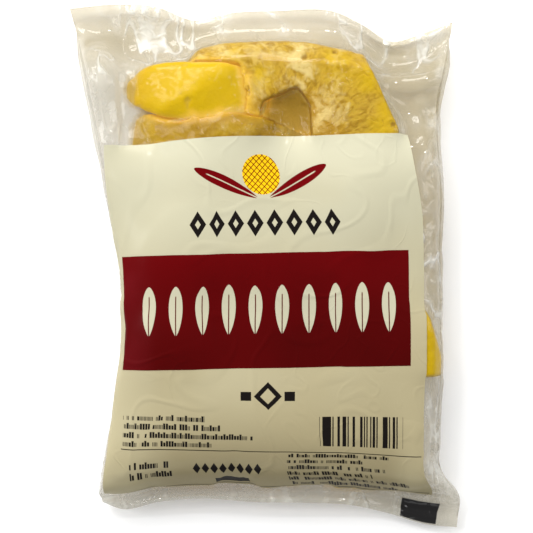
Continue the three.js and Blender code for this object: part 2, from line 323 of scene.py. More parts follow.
@dataclass
class FruitPieces:
    """The peeled, cored and frozen pieces in the pouch.

    Attributes:
        voxel: Mesh size of a piece's surface.
        lump: Depth and size of the broad unevenness of the flesh.
        dent: Depth and size of its small dents.
        pit: Depth and size of the sparse pits left by the core's fibres.
        pit_levels: Levels of the noise between which a pit opens.
        pit_stretch: How the pits are squeezed along each axis.
        patch: Size of the patches that the pits lie in.
        patch_levels: Levels of the noise between which a patch begins.
        shifts: How far the noises of the pits and the patches are moved, to keep them apart.
        fibre: Depth of a fibre, fibres for each radian round the axis, and a fibre's width.
        ahead: Direction from which turns round a fruit's axis are counted.
        core: Distances from the fruit's axis over which the core's tan tint fades.
        swell: How far the smoothed flesh is let out again.
        seam: Distances to the next piece over which the frost between them fades.
        give: How softly the flesh flattens under the film.
        first_seed: Noise of the first piece; the others follow it.
        cuts: The pieces.
        pieces: Their objects, once they are built.
    """

    voxel: float = 1.5
    lump: tuple[float, float] = (0.9, 19.0)
    dent: tuple[float, float] = (0.5, 6.0)
    pit: tuple[float, float] = (1.3, 4.2)
    pit_levels: tuple[float, float] = (0.45, 0.85)
    pit_stretch: tuple[float, float, float] = (1.0, 1.0, 0.6)
    patch: float = 24.0
    patch_levels: tuple[float, float] = (-0.1, 0.5)
    shifts: tuple[float, float] = (40.0, 90.0)
    fibre: tuple[float, float, float] = (9.0, 9.0, 4.0)
    ahead: tuple[float, float, float] = (0.31, 0.95, 0.1)
    core: tuple[float, float] = (20.0, 42.0)
    swell: float = 0.35
    seam: tuple[float, float] = (1.4, 5.0)
    give: float = 1.6
    first_seed: int = 301
    cuts: tuple[FruitCut, ...] = (
        FruitCut("wedge_top_left", (-37.3, 101.0, -0.4), (0.998, -0.07, 0.0), 1.0, 44),
        FruitCut("wedge_upper_middle", (-25.3, 69.0, -15.8), (0.993, -0.122, 0.0), 0.45, 16, 0.95),
        FruitCut("half_slice_top", (14.7, 69.0, 15.0), (0.0, 0.0, 1.0), 0.3),
        FruitCut("quarter_slice_right", (41.7, -65.0, 15.0), (0.0, 0.0, 1.0), 0.8),
        FruitCut("quarter_slice_middle_left", (-24.3, -14.0, 15.0), (0.0, 0.0, 1.0), 0.6),
        FruitCut("quarter_slice_middle", (-19.3, -13.0, 15.0), (0.0, 0.0, 1.0), 0.5),
        FruitCut("wedge_right", (55.7, 31.0, -13.8), (0.07, 0.998, 0.0), 0.85),
        FruitCut("quarter_slice_lower_middle", (36.7, -67.0, 15.0), (0.0, 0.0, 1.0), 0.5),
        FruitCut("wedge_left", (-53.3, -46.0, -13.8), (-0.07, 0.998, 0.0), 0.7),
        FruitCut("quarter_slice_bottom_left", (-19.3, -129.0, 15.0), (0.0, 0.0, 1.0), 0.6),
        FruitCut("quarter_slice_bottom", (-14.3, -129.0, 15.0), (0.0, 0.0, 1.0), 0.5),
        FruitCut("quarter_slice_bottom_right", (28.7, -130.0, 15.0), (0.0, 0.0, 1.0), 0.8),
    )
    pieces: list[bpy.types.Object] = field(default_factory=list)

    def build(self) -> None:
        """Make every piece from its CAD solid."""
        for k, cut in enumerate(self.cuts):
            piece = self._rounded_copy(cut)
            self._weather(piece.data, cut, Grain(self.first_seed + k))
            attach(piece, "root")
            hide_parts(cut.node)
            self.pieces.append(piece)
            LOG.info("%s: %d points", piece.name, len(piece.data.vertices))
        self._note_seams()

    def _rounded_copy(self, cut: FruitCut) -> bpy.types.Object:
        """Copy a CAD solid as an even mesh with rounded edges.

        Args:
            cut: The piece to copy.

        Returns:
            The new object.
        """
        build = bmesh.new()
        build.from_mesh(frame["nodes"][cut.node].data)
        bmesh.ops.remove_doubles(build, verts=build.verts, dist=1e-5)
        mesh = bpy.data.meshes.new(f"flesh_{cut.node}")
        build.to_mesh(mesh)
        build.free()
        piece = as_object(f"flesh_{cut.node}", mesh)
        remesh = piece.modifiers.new("even", "REMESH")
        remesh.mode = "VOXEL"
        remesh.voxel_size = self.voxel * MM
        remesh.use_smooth_shade = True
        rounded = piece.modifiers.new("rounded", "SMOOTH")
        rounded.factor = 0.5
        rounded.iterations = cut.rounding
        apply_modifiers(piece)
        return piece

    def _weather(self, mesh: bpy.types.Mesh, cut: FruitCut, grain: Grain) -> None:
        """Dent and pit the flesh, and note where each point lies in the fruit.

        Args:
            mesh: The piece's even mesh.
            cut: The piece it belongs to.
            grain: The piece's own noise.
        """
        points = mesh_points(mesh)
        lumps = self.lump[0] * 0.5 * (1.0 - grain.at(points, self.lump[1]))
        dents = self.dent[0] * 0.5 * (1.0 - grain.layered(points, self.dent[1], 2))
        pits = self._pits(points, grain)
        depth = lumps + dents + pits - self.swell
        move_points(mesh, points - mesh_normals(mesh) * depth[:, None])
        write_attribute(mesh, "pitted", pits / self.pit[0])
        write_attribute(mesh, "ripe", np.full(len(points), cut.ripeness))
        write_attribute(mesh, "darkened", np.full(len(points), cut.darkening))
        self._note_fibres(mesh, cut, points)

    def _pits(self, points: Array, grain: Grain) -> Array:
        """Return the depth of the sparse pits, which lie together in patches.

        Args:
            points: Places on the piece, in millimetres.
            grain: The piece's own noise.

        Returns:
            One depth for each place.
        """
        pit_shift, patch_shift = self.shifts
        stretched = points * np.array(self.pit_stretch)
        opened = grain.at(stretched + pit_shift, self.pit[1])
        patches = grain.at(points + patch_shift, self.patch)
        return self.pit[0] * smoothstep(opened, *self.pit_levels) * smoothstep(patches, *self.patch_levels)

    def _note_fibres(self, mesh: bpy.types.Mesh, cut: FruitCut, points: Array) -> None:
        """Note at each point how near the core it lies, and its place along the fibres.

        Args:
            mesh: The piece's mesh.
            cut: The piece it belongs to.
            points: Where its points lay before the flesh was dented.
        """
        axis, ahead = np.array(cut.axis), np.array(self.ahead)
        from_axis = points - np.array(cut.axis_point)
        along = from_axis @ axis
        out = from_axis - along[:, None] * axis
        radius = np.linalg.norm(out, axis=1)
        write_attribute(mesh, "core", 1.0 - smoothstep(radius, *self.core))
        turn = np.arctan2(out @ np.cross(axis, ahead), out @ ahead)
        depth, turns, width = self.fibre
        write_attribute(mesh, "fibre", np.stack([radius / depth, turn * turns, along / width], axis=1))

    def _note_seams(self) -> None:
        """Note at each point of a piece how near its neighbours are."""
        for piece in self.pieces:
            others = self.surface(piece)
            near = [others.find_nearest(Vector(p), self.seam[1])[3] for p in mesh_points(piece.data)]
            gaps = np.array([self.seam[1] if gap is None else gap for gap in near])
            write_attribute(piece.data, "seam", 1.0 - smoothstep(gaps, *self.seam))

    def press(self, film: BVHTree, room: float, reach: float) -> None:
        """Press the flesh flat where it would touch the film, and note where the film clings.

        Args:
            film: The film's surface, facing outwards.
            room: Smallest distance that is kept to the film.
            reach: Distance at which the film no longer clings to the flesh.
        """
        for piece in self.pieces:
            points = mesh_points(piece.data)
            gaps = np.empty(len(points))
            inwards = np.empty(points.shape)
            for k, point in enumerate(points):
                hit, normal, _, _ = film.find_nearest(Vector(point))
                gaps[k] = (hit - Vector(point)).dot(normal)
                inwards[k] = -normal
            short = np.clip(room + self.give - gaps, 0.0, 2.0 * self.give)
            push = np.where(gaps < room - self.give, room - gaps, short**2 / (4.0 * self.give))
            move_points(piece.data, points + inwards * push[:, None])
            write_attribute(piece.data, "cling", 1.0 - smoothstep(gaps, room, reach))

    def surface(self, left_out: Optional[bpy.types.Object] = None) -> BVHTree:
        """Return the pieces' surfaces as one search tree, in millimetres.

        Args:
            left_out: A piece that the tree doesn't hold.

        Returns:
            The tree.
        """
        points, faces, first = [], [], 0
        for piece in (p for p in self.pieces if p is not left_out):
            points += [tuple(p) for p in mesh_points(piece.data)]
            faces += [[first + v for v in polygon.vertices] for polygon in piece.data.polygons]
            first += len(piece.data.vertices)
        return BVHTree.FromPolygons(points, faces)


@dataclass
class ContentsField:
    """Distance to the fruit, sampled through the pouch so that film can be kept off it.

    Attributes:
        surface: The fruit's surfaces.
        step: Spacing of the samples.
        reach: How far from the fruit the distance is followed.
        round_about: Passes of averaging that reach a place's surroundings.
    """

    surface: BVHTree
    step: float = 2.5
    reach: float = 12.0
    round_about: int = 54

    def __post_init__(self) -> None:
        """Sample the distance over the pouch's box."""
        low, high = (np.array(corner) / MM for corner in CAD_BOX)
        self.low = low - self.step
        counts = np.ceil((high - low) / self.step).astype(int) + 3
        self.values = np.full(counts, self.reach)
        for index in np.ndindex(*counts):
            place = Vector(self.low + np.array(index) * self.step)
            self.values[index] = self._signed(place)
        self.slopes = np.stack(np.gradient(self.values, self.step), axis=-1)

    def _signed(self, place: Vector) -> float:
        """Return the distance to the fruit at a place, negative inside it.

        Args:
            place: The place, in millimetres.

        Returns:
            The distance, at most the field's reach.
        """
        hit, normal, _, distance = self.surface.find_nearest(place, self.reach)
        if hit is None:
            return self.reach
        return distance if (place - hit).dot(normal) > 0.0 else -distance

    def covered(self, points: Array) -> tuple[Array, Array]:
        """Tell where fruit lies over or under places, seen from straight above.

        Args:
            points: Places in millimetres, one row each.

        Returns:
            For each place, 1 where fruit is in line with it and 0 elsewhere, softened at the edge,
            and the share of its surroundings that fruit fills.
        """
        filled = self._filled()
        around = filled
        for _ in range(self.round_about):
            for axis in (0, 1):
                around = (np.roll(around, 1, axis) + around + np.roll(around, -1, axis)) / 3.0
        return self._read_columns(filled, points), self._read_columns(around, points)

    def _filled(self) -> Array:
        """Return 1 for each column of samples that passes through fruit, and 0 for the others."""
        top = self.low[2] + self.step * self.values.shape[2]
        down = Vector((0.0, 0.0, -1.0))
        filled = np.zeros(self.values.shape[:2])
        for column in np.ndindex(*filled.shape):
            x, y = self.low[:2] + np.array(column) * self.step
            filled[column] = self.surface.ray_cast(Vector((x, y, top)), down)[0] is not None
        return filled

    def _read_columns(self, values: Array, points: Array) -> Array:
        """Read a number that is known for each column of samples.

        Args:
            values: The numbers, indexed across and along the pouch.
            points: Places in millimetres, one row each.

        Returns:
            One number for each place.
        """
        place = (points[:, :2] - self.low[:2]) / self.step
        low = np.clip(np.floor(place).astype(int), 0, np.array(values.shape) - 2)
        across, along = np.clip(place - low, 0.0, 1.0).T
        x, y = low.T
        near = values[x, y] * (1.0 - across) + values[x + 1, y] * across
        far = values[x, y + 1] * (1.0 - across) + values[x + 1, y + 1] * across
        return near * (1.0 - along) + far * along

    def read(self, points: Array) -> tuple[Array, Array]:
        """Read the distance and the way out at many places.

        Args:
            points: Places in millimetres, with the axes last.

        Returns:
            The distances, and unit vectors that point away from the fruit.
        """
        place = (points - self.low) / self.step
        top = np.array(self.values.shape) - 2
        low = np.clip(np.floor(place).astype(int), 0, top)
        share = np.clip(place - low, 0.0, 1.0)
        distance = np.zeros(points.shape[:-1])
        away = np.zeros(points.shape)
        for step, weight in cell_corners(share):
            x, y, z = np.moveaxis(low + step, -1, 0)
            distance += weight * self.values[x, y, z]
            away += weight[..., None] * self.slopes[x, y, z]
        return distance, away / (np.linalg.norm(away, axis=-1, keepdims=True) + TINY)


# ---- Film ------------------------------------------------------------------------------------


@dataclass(frozen=True)
class Area:
    """A printed area of the front wall.

    Attributes:
        left: Its left side, as a share of the wall's width.
        right: Its right side.
        low: Its lower side, as a share of the wall's length.
        high: Its upper side.
    """

    left: float
    right: float
    low: float
    high: float


PANEL = Area(0.054, 0.8785, 0.04, 0.75)
BAND = Area(0.103, 0.838, 0.301, 0.526)


class Wall(Enum):
    """One of the pouch's walls, by its place in pairs of sizes."""

    FRONT = 0
    BACK = 1


@dataclass(frozen=True)
class Slack:
    """Spare length of the film, as shares of its length.

    Attributes:
        front: Over the whole front wall.
        side: More at its right side.
        corners: More at its two top corners.
        bottom: More at its bottom end.
        back: Over the whole back wall.
        back_top: More at its top end.
    """

    front: float = 0.004
    side: float = 0.03
    corners: float = 0.03
    bottom: float = 0.012
    back: float = 0.006
    back_top: float = 0.02

    def over(self, across: Array, along: Array) -> Array:
        """Return the spare length at each point of the tube.

        Args:
            across: Shares of the width at which the mesh's lines lie.
            along: Shares of the length at which they lie.

        Returns:
            The shares, indexed [row, column round the tube].
        """
        s = across[None, :]
        t = along[:, None]
        side = smoothstep(s, 0.88, 0.96) * smoothstep(t, 0.1, 0.3)
        top = smoothstep(t, 0.78, 0.86)
        corners = top * (1.0 - smoothstep(s, 0.2, 0.35) + smoothstep(s, 0.75, 0.85))
        bottom = 1.0 - smoothstep(t, 0.02, 0.12)
        front = self.front + self.side * side + self.corners * corners + self.bottom * bottom
        back = np.broadcast_to(self.back + self.back_top * top, front.shape)
        return np.concatenate([front, back[:, -2:0:-1]], axis=1)


@dataclass(frozen=True)
class Link:
    """Springs that join each point of the film to another point of it.

    Attributes:
        down: Rows from a point to the other.
        right: Columns from a point to the other.
        strength: How firmly a spring keeps its length.
    """

    down: int
    right: int
    strength: float

    def gaps(self, tube: Array) -> Array:
        """Return the way from each point to the other."""
        return np.roll(tube, -self.right, axis=1)[self.down :] - tube[: len(tube) - self.down]


@dataclass
class FilmTube:
    """The tube of film, welded flat at both ends and drawn down on the fruit.

    Attributes:
        cell: Size of a cell of its mesh.
        seal: Share of the length that is welded at each end.
        side_levels: Levels of the film, as shares of its length from the bottom edge.
        left_edge: Where the film folds over at the left side, at those levels.
        right_edge: Where it folds over at the right side.
        bottom_edge: The welded bottom edge, from left to right.
        top_edge: The welded top edge, from left to right.
        end_reach: Share of the length over which an end edge's waves die out.
        levels: Heights that the front and the back wall start at.
        opening: Lengths over which they part from a welded end.
        side_depth: How far in from the left and the right side its shoulders reach.
        side_power: How boxy those shoulders are; 2 is round.
        mean_width: Width of the pack that the shoulders are a share of.
        shoulder_points: Points of a shoulder's curve, before its length is divided evenly.
        flat_points: Points of the curve between the shoulders.
        clearance: Between film and fruit.
        wall_gap: Smallest gap between the walls.
        ground: Lowest height of the film.
        weld: Thickness of the welded ends.
        fold_angle: Angle, in radians, from which an edge is drawn sharp.
        width: Width of the flat tube.
        length: Its length.
        centre: The share of the width at which the print's middle lies.
        print_middle: Where that middle lies across the pack.
        margin: Smallest distance from the print to the sides.
        pinch: How far the panel's top right corner is drawn in.
        pinch_levels: Shares of the length over which that begins.
        flare: How far its bottom right corner is drawn out.
        flare_level: Share of the length at which that ends.
        slack: How much spare length the film has.
        links: What keeps the film's lengths and resists bending.
        squeeze: How strongly a link resists being shortened, against 1 for lengthened.
        damping: How much the links' pushes are held back.
        pull: How far a step draws the printed wall and the clear window down.
        window: Shares of the length over which the clear window begins.
        easing: Share of the steps after which that pull weakens, and what is left of it.
        fold_hold: How much of its stray a side's fold is brought back in a step.
        flutter: Height and size of the unevenness that the film starts with.
        flutter_seed: Which noise that is.
        rounds: Steps in which the film finds its shape.
        iron: Passes that flatten the printed wall.
        fruit_share: Shares of fruit round a place between which the film counts as over fruit.
    """

    cell: float = 2.3
    seal: float = 0.02
    side_levels: tuple[float, ...] = (
        0.0, 0.04, 0.09, 0.17, 0.295, 0.41, 0.525, 0.64, 0.75, 0.84, 0.92, 1.0,
    )
    left_edge: tuple[tuple[float, float, float], ...] = (
        (-94.9, -136.5, 12.0), (-95.3, -131.5, 14.0), (-92.9, -116.0, 17.0), (-88.2, -93.5, 18.0),
        (-83.9, -60.2, 18.0), (-82.0, -27.0, 18.0), (-84.2, 6.0, 18.0), (-90.0, 38.0, 18.0),
        (-95.6, 70.2, 18.0), (-100.8, 97.5, 17.0), (-106.2, 122.5, 15.0), (-113.9, 151.4, 13.0),
    )
    right_edge: tuple[tuple[float, float, float], ...] = (
        (112.6, -152.2, 7.0), (113.4, -136.0, 10.0), (103.0, -119.5, 14.0), (100.4, -98.0, 18.0),
        (102.2, -57.1, 18.0), (101.7, -23.5, 18.0), (101.3, 10.4, 18.0), (102.2, 44.0, 18.0),
        (100.2, 77.2, 18.0), (100.5, 99.0, 17.0), (105.0, 119.0, 16.0), (109.5, 143.3, 15.0),
    )
    bottom_edge: tuple[tuple[float, float, float], ...] = (
        (-94.9, -136.5, 12.0), (-84.5, -141.3, 8.0), (-62.0, -136.5, 13.0), (-36.0, -134.5, 13.0),
        (-8.0, -136.5, 13.0), (22.0, -137.0, 13.0), (50.0, -138.6, 11.0), (72.0, -144.0, 6.0),
        (95.0, -150.8, 5.0), (112.6, -152.2, 7.0),
    )
    top_edge: tuple[tuple[float, float, float], ...] = (
        (-113.9, 151.4, 13.0), (-88.0, 154.0, 12.0), (-63.0, 152.6, 11.0), (-43.0, 146.0, 5.0),
        (-19.0, 149.4, 11.0), (5.0, 149.9, 14.0), (42.0, 149.2, 13.0), (57.0, 142.8, 8.0),
        (75.0, 133.4, 4.0), (92.0, 137.4, 9.0), (109.5, 143.3, 15.0),
    )
    end_reach: float = 0.22
    levels: tuple[float, float] = (40.0, 0.3)
    opening: tuple[float, float] = (34.0, 22.0)
    side_depth: tuple[float, float] = (12.0, 20.0)
    side_power: tuple[float, float] = (4.0, 2.2)
    mean_width: float = 190.0
    shoulder_points: int = 60
    flat_points: int = 120
    clearance: float = 0.6
    wall_gap: float = 0.35
    ground: float = 0.25
    weld: float = 0.3
    fold_angle: float = 1.6
    width: float = 225.0
    length: float = 302.0
    centre: float = 0.472
    print_middle: float = 0.4
    margin: float = 3.0
    pinch: float = 9.0
    pinch_levels: tuple[float, float] = (0.57, 0.77)
    flare: float = 5.5
    flare_level: float = 0.1
    slack: Slack = Slack()
    links: tuple[Link, ...] = (
        Link(0, 1, 1.0), Link(1, 0, 1.0), Link(1, 1, 0.6), Link(1, -1, 0.6),
        Link(0, 2, 0.3), Link(2, 0, 0.3), Link(0, 4, 0.2), Link(4, 0, 0.2),
        Link(0, 8, 0.1), Link(8, 0, 0.1),
    )
    squeeze: float = 0.6
    damping: float = 0.42
    pull: tuple[float, float] = (0.022, 0.06)
    window: tuple[float, float] = (0.72, 0.8)
    easing: tuple[float, float] = (0.7, 0.3)
    fold_hold: float = 0.3
    flutter: tuple[float, float] = (0.35, 11.0)
    flutter_seed: int = 77
    rounds: int = 420
    iron: int = 110
    fruit_share: tuple[float, float] = (0.56, 0.66)

    def build(self, contents: ContentsField) -> None:
        """Shape the film over the fruit.

        Args:
            contents: Distance to the fruit.
        """
        stops = (0.0, PANEL.left, BAND.left, BAND.right, PANEL.right, 1.0)
        self.across = self._lines(stops, self.width)
        stops = (0.0, self.seal, PANEL.low, BAND.low, BAND.high, PANEL.high, 1.0 - self.seal, 1.0)
        self.along = self._lines(stops, self.length)
        front = np.stack([self._start_row(t, Wall.FRONT) for t in self.along])
        back = np.stack([self._start_row(t, Wall.BACK) for t in self.along])
        tube = np.concatenate([front, back[:, -2:0:-1]], axis=1)
        middle = (tube.min(axis=(0, 1)) + tube.max(axis=(0, 1))) / 2.0
        tube[..., :2] -= middle[:2]
        self.tube = self._relaxed(tube, contents)
        LOG.info("film: %d by %d points", *self.tube.shape[:2])

    def _lines(self, stops: Sequence[float], length: float) -> Array:
        """Divide a length evenly between stops that must be lines of the mesh.

        Args:
            stops: Shares of the length.
            length: The length that they are shares of.

        Returns:
            The lines' shares, from the first stop to the last.
        """
        parts = []
        for low, high in zip(stops, stops[1:]):
            cells = max(1, round((high - low) * length / self.cell))
            parts.append(np.linspace(low, high, cells, endpoint=False))
        return np.append(np.concatenate(parts), stops[-1])

    def _middle(self, along: float, place: Array) -> Array:
        """Return points of the surface on which the walls meet.

        Args:
            along: Share of the pack's length.
            place: Shares of its width there.

        Returns:
            One point for each place.
        """
        levels = np.array(self.side_levels)
        left = curve_through(levels, np.array(self.left_edge), np.array(along))
        right = curve_through(levels, np.array(self.right_edge), np.array(along))
        points = left + (right - left) * place[:, None]
        for edge, distance in ((self.bottom_edge, along), (self.top_edge, 1.0 - along)):
            fade = max(0.0, 1.0 - distance / self.end_reach) ** 2
            corners = np.array(edge)
            lengths = np.linalg.norm(np.diff(corners, axis=0), axis=1)
            knots = np.append(0.0, np.cumsum(lengths)) / lengths.sum()
            straight = corners[0] + (corners[-1] - corners[0]) * place[:, None]
            points += fade * (curve_through(knots, corners, place) - straight)
        return points

    def _start_row(self, along: float, wall: Wall) -> Array:
        """Lead even film over one wall, at one level of the pack.

        Args:
            along: Share of the pack's length.
            wall: The wall.

        Returns:
            The row's points, one for each line across.
        """
        points = self._section(along, wall)
        steps = np.linalg.norm(np.diff(points, axis=0), axis=1)
        run = np.append(0.0, np.cumsum(steps))
        centre = np.interp(self.print_middle, points[:, 0], run)
        pinch = self.pinch * float(smoothstep(np.array(along), *self.pinch_levels))
        flare = self.flare * (1.0 - float(smoothstep(np.array(along), PANEL.low, self.flare_level)))
        ends = centre + self.width * np.array([PANEL.left - self.centre, PANEL.right - self.centre])
        ends = np.clip(ends + (0.0, flare - pinch), self.margin, run[-1] - self.margin)
        places = np.interp(self.across, (0.0, PANEL.left, PANEL.right, 1.0), (0.0, *ends, run[-1]))
        return np.stack([np.interp(places, run, points[:, k]) for k in range(3)], axis=1)

    def _section(self, along: float, wall: Wall) -> Array:
        """Lead a curve round both shoulders of one wall, at one level of the pack.

        Args:
            along: Share of the pack's length.
            wall: The wall.

        Returns:
            The curve's points, from left to right.
        """
        from_weld = (min(along, 1.0 - along) - self.seal) * self.length
        parted = min(1.0, max(0.0, from_weld / self.opening[wall.value]))
        opening = math.sin(math.pi / 2.0 * parted)
        turn = np.linspace(0.0, math.pi / 2.0, self.shoulder_points)
        width = self.mean_width / max(opening, 0.01)
        places, bulges = [], []
        for depth, power in zip(self.side_depth, self.side_power):
            places.append(depth / width * (1.0 - np.cos(turn) ** (2.0 / power)))
            bulges.append(np.sin(turn) ** (2.0 / power))
        flat = np.linspace(places[0][-1], 1.0 - places[1][-1], self.flat_points)[1:-1]
        place = np.concatenate([places[0], flat, 1.0 - places[1][::-1]])
        bulge = np.concatenate([bulges[0], np.ones(len(flat)), bulges[1][::-1]])
        points = self._middle(along, place)
        points[:, 2] += (self.levels[wall.value] - points[:, 2]) * opening * bulge
        return points

    def _relaxed(self, tube: Array, contents: ContentsField) -> Array:
        """Let the film settle: it keeps its lengths, resists bending and stays off the fruit.

        Args:
            tube: The start shape, indexed [row, column round the tube, axis].
            contents: Distance to the fruit.

        Returns:
            The settled shape.
        """
        stretch = 1.0 + self.slack.over(self.across, self.along)
        rests = [
            np.linalg.norm(link.gaps(tube), axis=2) * stretch[: len(tube) - link.down]
            for link in self.links
        ]
        folds = [0, len(self.across) - 1]
        welded = round(len(tube) * self.seal)
        held = tube.copy()
        height, size = self.flutter
        tube[..., 2] += height * Grain(self.flutter_seed).layered(tube * (1.0, 1.0, 2.0), size, 2)
        rounds = self.rounds
        window = smoothstep(self.along[:, None], *self.window)
        pull = self.pull[0] + (self.pull[1] - self.pull[0]) * window
        for step in range(rounds):
            self._keep_lengths(tube, rests)
            tube[:, 1 : folds[1], 2] -= pull if step < rounds * self.easing[0] else pull * self.easing[1]
            tube[:, folds, :2] += self.fold_hold * (held[:, folds, :2] - tube[:, folds, :2])
            distance, away = contents.read(tube)
            tube += away * np.maximum(0.0, self.clearance - distance)[..., None]
            tube[..., 2] = np.maximum(tube[..., 2], self.ground)
            self._part_walls(tube)
            tube[:welded] = held[:welded]
            tube[len(tube) - welded :] = held[len(tube) - welded :]
        tube = self._ironed(tube)
        ply = np.zeros(tube.shape[1])
        front, back = self._facing(tube)
        ply[front] = 0.5 * self.weld
        ply[back] = -0.5 * self.weld
        tube[1:welded, :, 2] += ply
        tube[len(tube) - welded : -1, :, 2] += ply
        return tube

    def _keep_lengths(self, tube: Array, rests: Sequence[Array]) -> None:
        """Push the film's points towards the lengths of their links, for one step.

        Args:
            tube: The film, which is changed.
            rests: The lengths that each kind of link keeps.
        """
        push = np.zeros_like(tube)
        count = np.zeros(tube.shape[:2])
        for link, rest in zip(self.links, rests):
            gap = link.gaps(tube)
            length = np.linalg.norm(gap, axis=2) + TINY
            error = (length - rest) / length
            error = np.where(error < 0.0, error * self.squeeze, error)
            move = gap * (0.5 * link.strength * error)[..., None]
            push[: len(tube) - link.down] += move
            push[link.down :] -= np.roll(move, link.right, axis=1)
            count[: len(tube) - link.down] += link.strength
            count[link.down :] += link.strength
        tube += push / (self.damping * count[..., None])

    def _facing(self, tube: Array) -> tuple[Array, Array]:
        """Return the columns of the front wall and those that face them in the back wall.

        Args:
            tube: The film.

        Returns:
            The two sets of columns.
        """
        front = np.arange(1, len(self.across) - 1)
        return front, tube.shape[1] - front

    def _part_walls(self, tube: Array) -> None:
        """Push the walls apart where they come too near each other, for one step.

        Args:
            tube: The film, which is changed.
        """
        front, back = self._facing(tube)
        gap = tube[:, front, 2] - tube[:, back, 2]
        part = 0.5 * np.maximum(0.0, self.wall_gap - gap)
        tube[:, front, 2] += part
        tube[:, back, 2] -= part

    def _ironed(self, tube: Array) -> Array:
        """Flatten the small dents of the printed wall, which the thick ink keeps stiff.

        Args:
            tube: The settled shape.

        Returns:
            The shape with an even printed wall.
        """
        s = self.across[None, :]
        t = self.along[:, None]
        stiff = smoothstep(s, 0.03, 0.1) * (1.0 - smoothstep(s, 0.83, 0.9))
        stiff = 0.5 * stiff * smoothstep(t, 0.05, 0.12) * (1.0 - smoothstep(t, 0.71, 0.76))
        front = len(self.across)
        for _ in range(self.iron):
            level = tube[..., 2]
            beside = [np.roll(level, step, axis) for axis in (0, 1) for step in (1, -1)]
            tube[:, :front, 2] += stiff * (sum(beside) / 4.0 - level)[:, :front]
        return tube

    def shares(self) -> Array:
        """Return each point's share across and along; the back wall runs on from 1 to 2."""
        across = np.concatenate([self.across, 2.0 - self.across[-2:0:-1]])
        return np.stack(np.meshgrid(across, self.along), axis=-1)

    def normals(self) -> Array:
        """Return the film's outward normals, indexed like the tube."""
        across = np.roll(self.tube, -1, axis=1) - np.roll(self.tube, 1, axis=1)
        along = np.gradient(self.tube, axis=0)
        normal = np.cross(across, along)
        return normal / (np.linalg.norm(normal, axis=-1, keepdims=True) + TINY)

    def tree(self) -> BVHTree:
        """Return the film's surface as a search tree, in millimetres, facing outwards."""
        rows, columns = self.tube.shape[:2]
        first = np.arange(rows - 1)[:, None] * columns
        here, beside = np.arange(columns), (np.arange(columns) + 1) % columns
        corners = [first + here, first + beside, first + columns + beside, first + columns + here]
        faces = np.stack(corners, axis=-1).reshape(-1, 4).tolist()
        return BVHTree.FromPolygons(self.tube.reshape(-1, 3).tolist(), faces)

    def pouch(self, contents: ContentsField) -> bpy.types.Object:
        """Make the whole pouch as one closed film.

        Args:
            contents: Distance to the fruit.

        Returns:
            The new object.
        """
        points = np.concatenate([self.tube, self.tube[:, :1]], axis=1)
        shares = self.shares()
        closing = shares[:, :1] + np.array([2.0, 0.0])
        mesh = grid_mesh("film_pouch", points, np.concatenate([shares, closing], axis=1))
        build = bmesh.new()
        build.from_mesh(mesh)
        bmesh.ops.remove_doubles(build, verts=build.verts, dist=1e-6)
        build.to_mesh(mesh)
        build.free()
        points = mesh_points(mesh)
        distance, _ = contents.read(points)
        write_attribute(mesh, "distance", distance)
        in_line, around = contents.covered(points)
        over = np.maximum(in_line, smoothstep(around, *self.fruit_share))
        write_attribute(mesh, "over", over)
        write_attribute(mesh, "hollow", smoothstep(over - in_line, 0.2, 0.8))
        pouch = as_object("film_pouch", mesh)
        mesh.set_sharp_from_angle(angle=self.fold_angle)
        return pouch

    def sheet(self, name: str, area: Area, lift: float) -> bpy.types.Object:
        """Make a printed layer over an area of the front wall.

        Args:
            name: The layer's name.
            area: Where it lies.
            lift: Height over the film.

        Returns:
            The new object, with its corners at 0 and 1 in its texture map.
        """
        near = 1e-6
        columns = np.flatnonzero((self.across > area.left - near) & (self.across < area.right + near))
        rows = np.flatnonzero((self.along > area.low - near) & (self.along < area.high + near))
        points = (self.tube + self.normals() * lift)[np.ix_(rows, columns)]
        shares = self.shares()[np.ix_(rows, columns)]
        low = np.array([area.left, area.low])
        size = np.array([area.right, area.high]) - low
        return as_object(name, grid_mesh(name, points, (shares - low) / size))


# ---- Shader expressions ----------------------------------------------------------------------


Colour = tuple[float, float, float]
BLACK = (0.0, 0.0, 0.0)


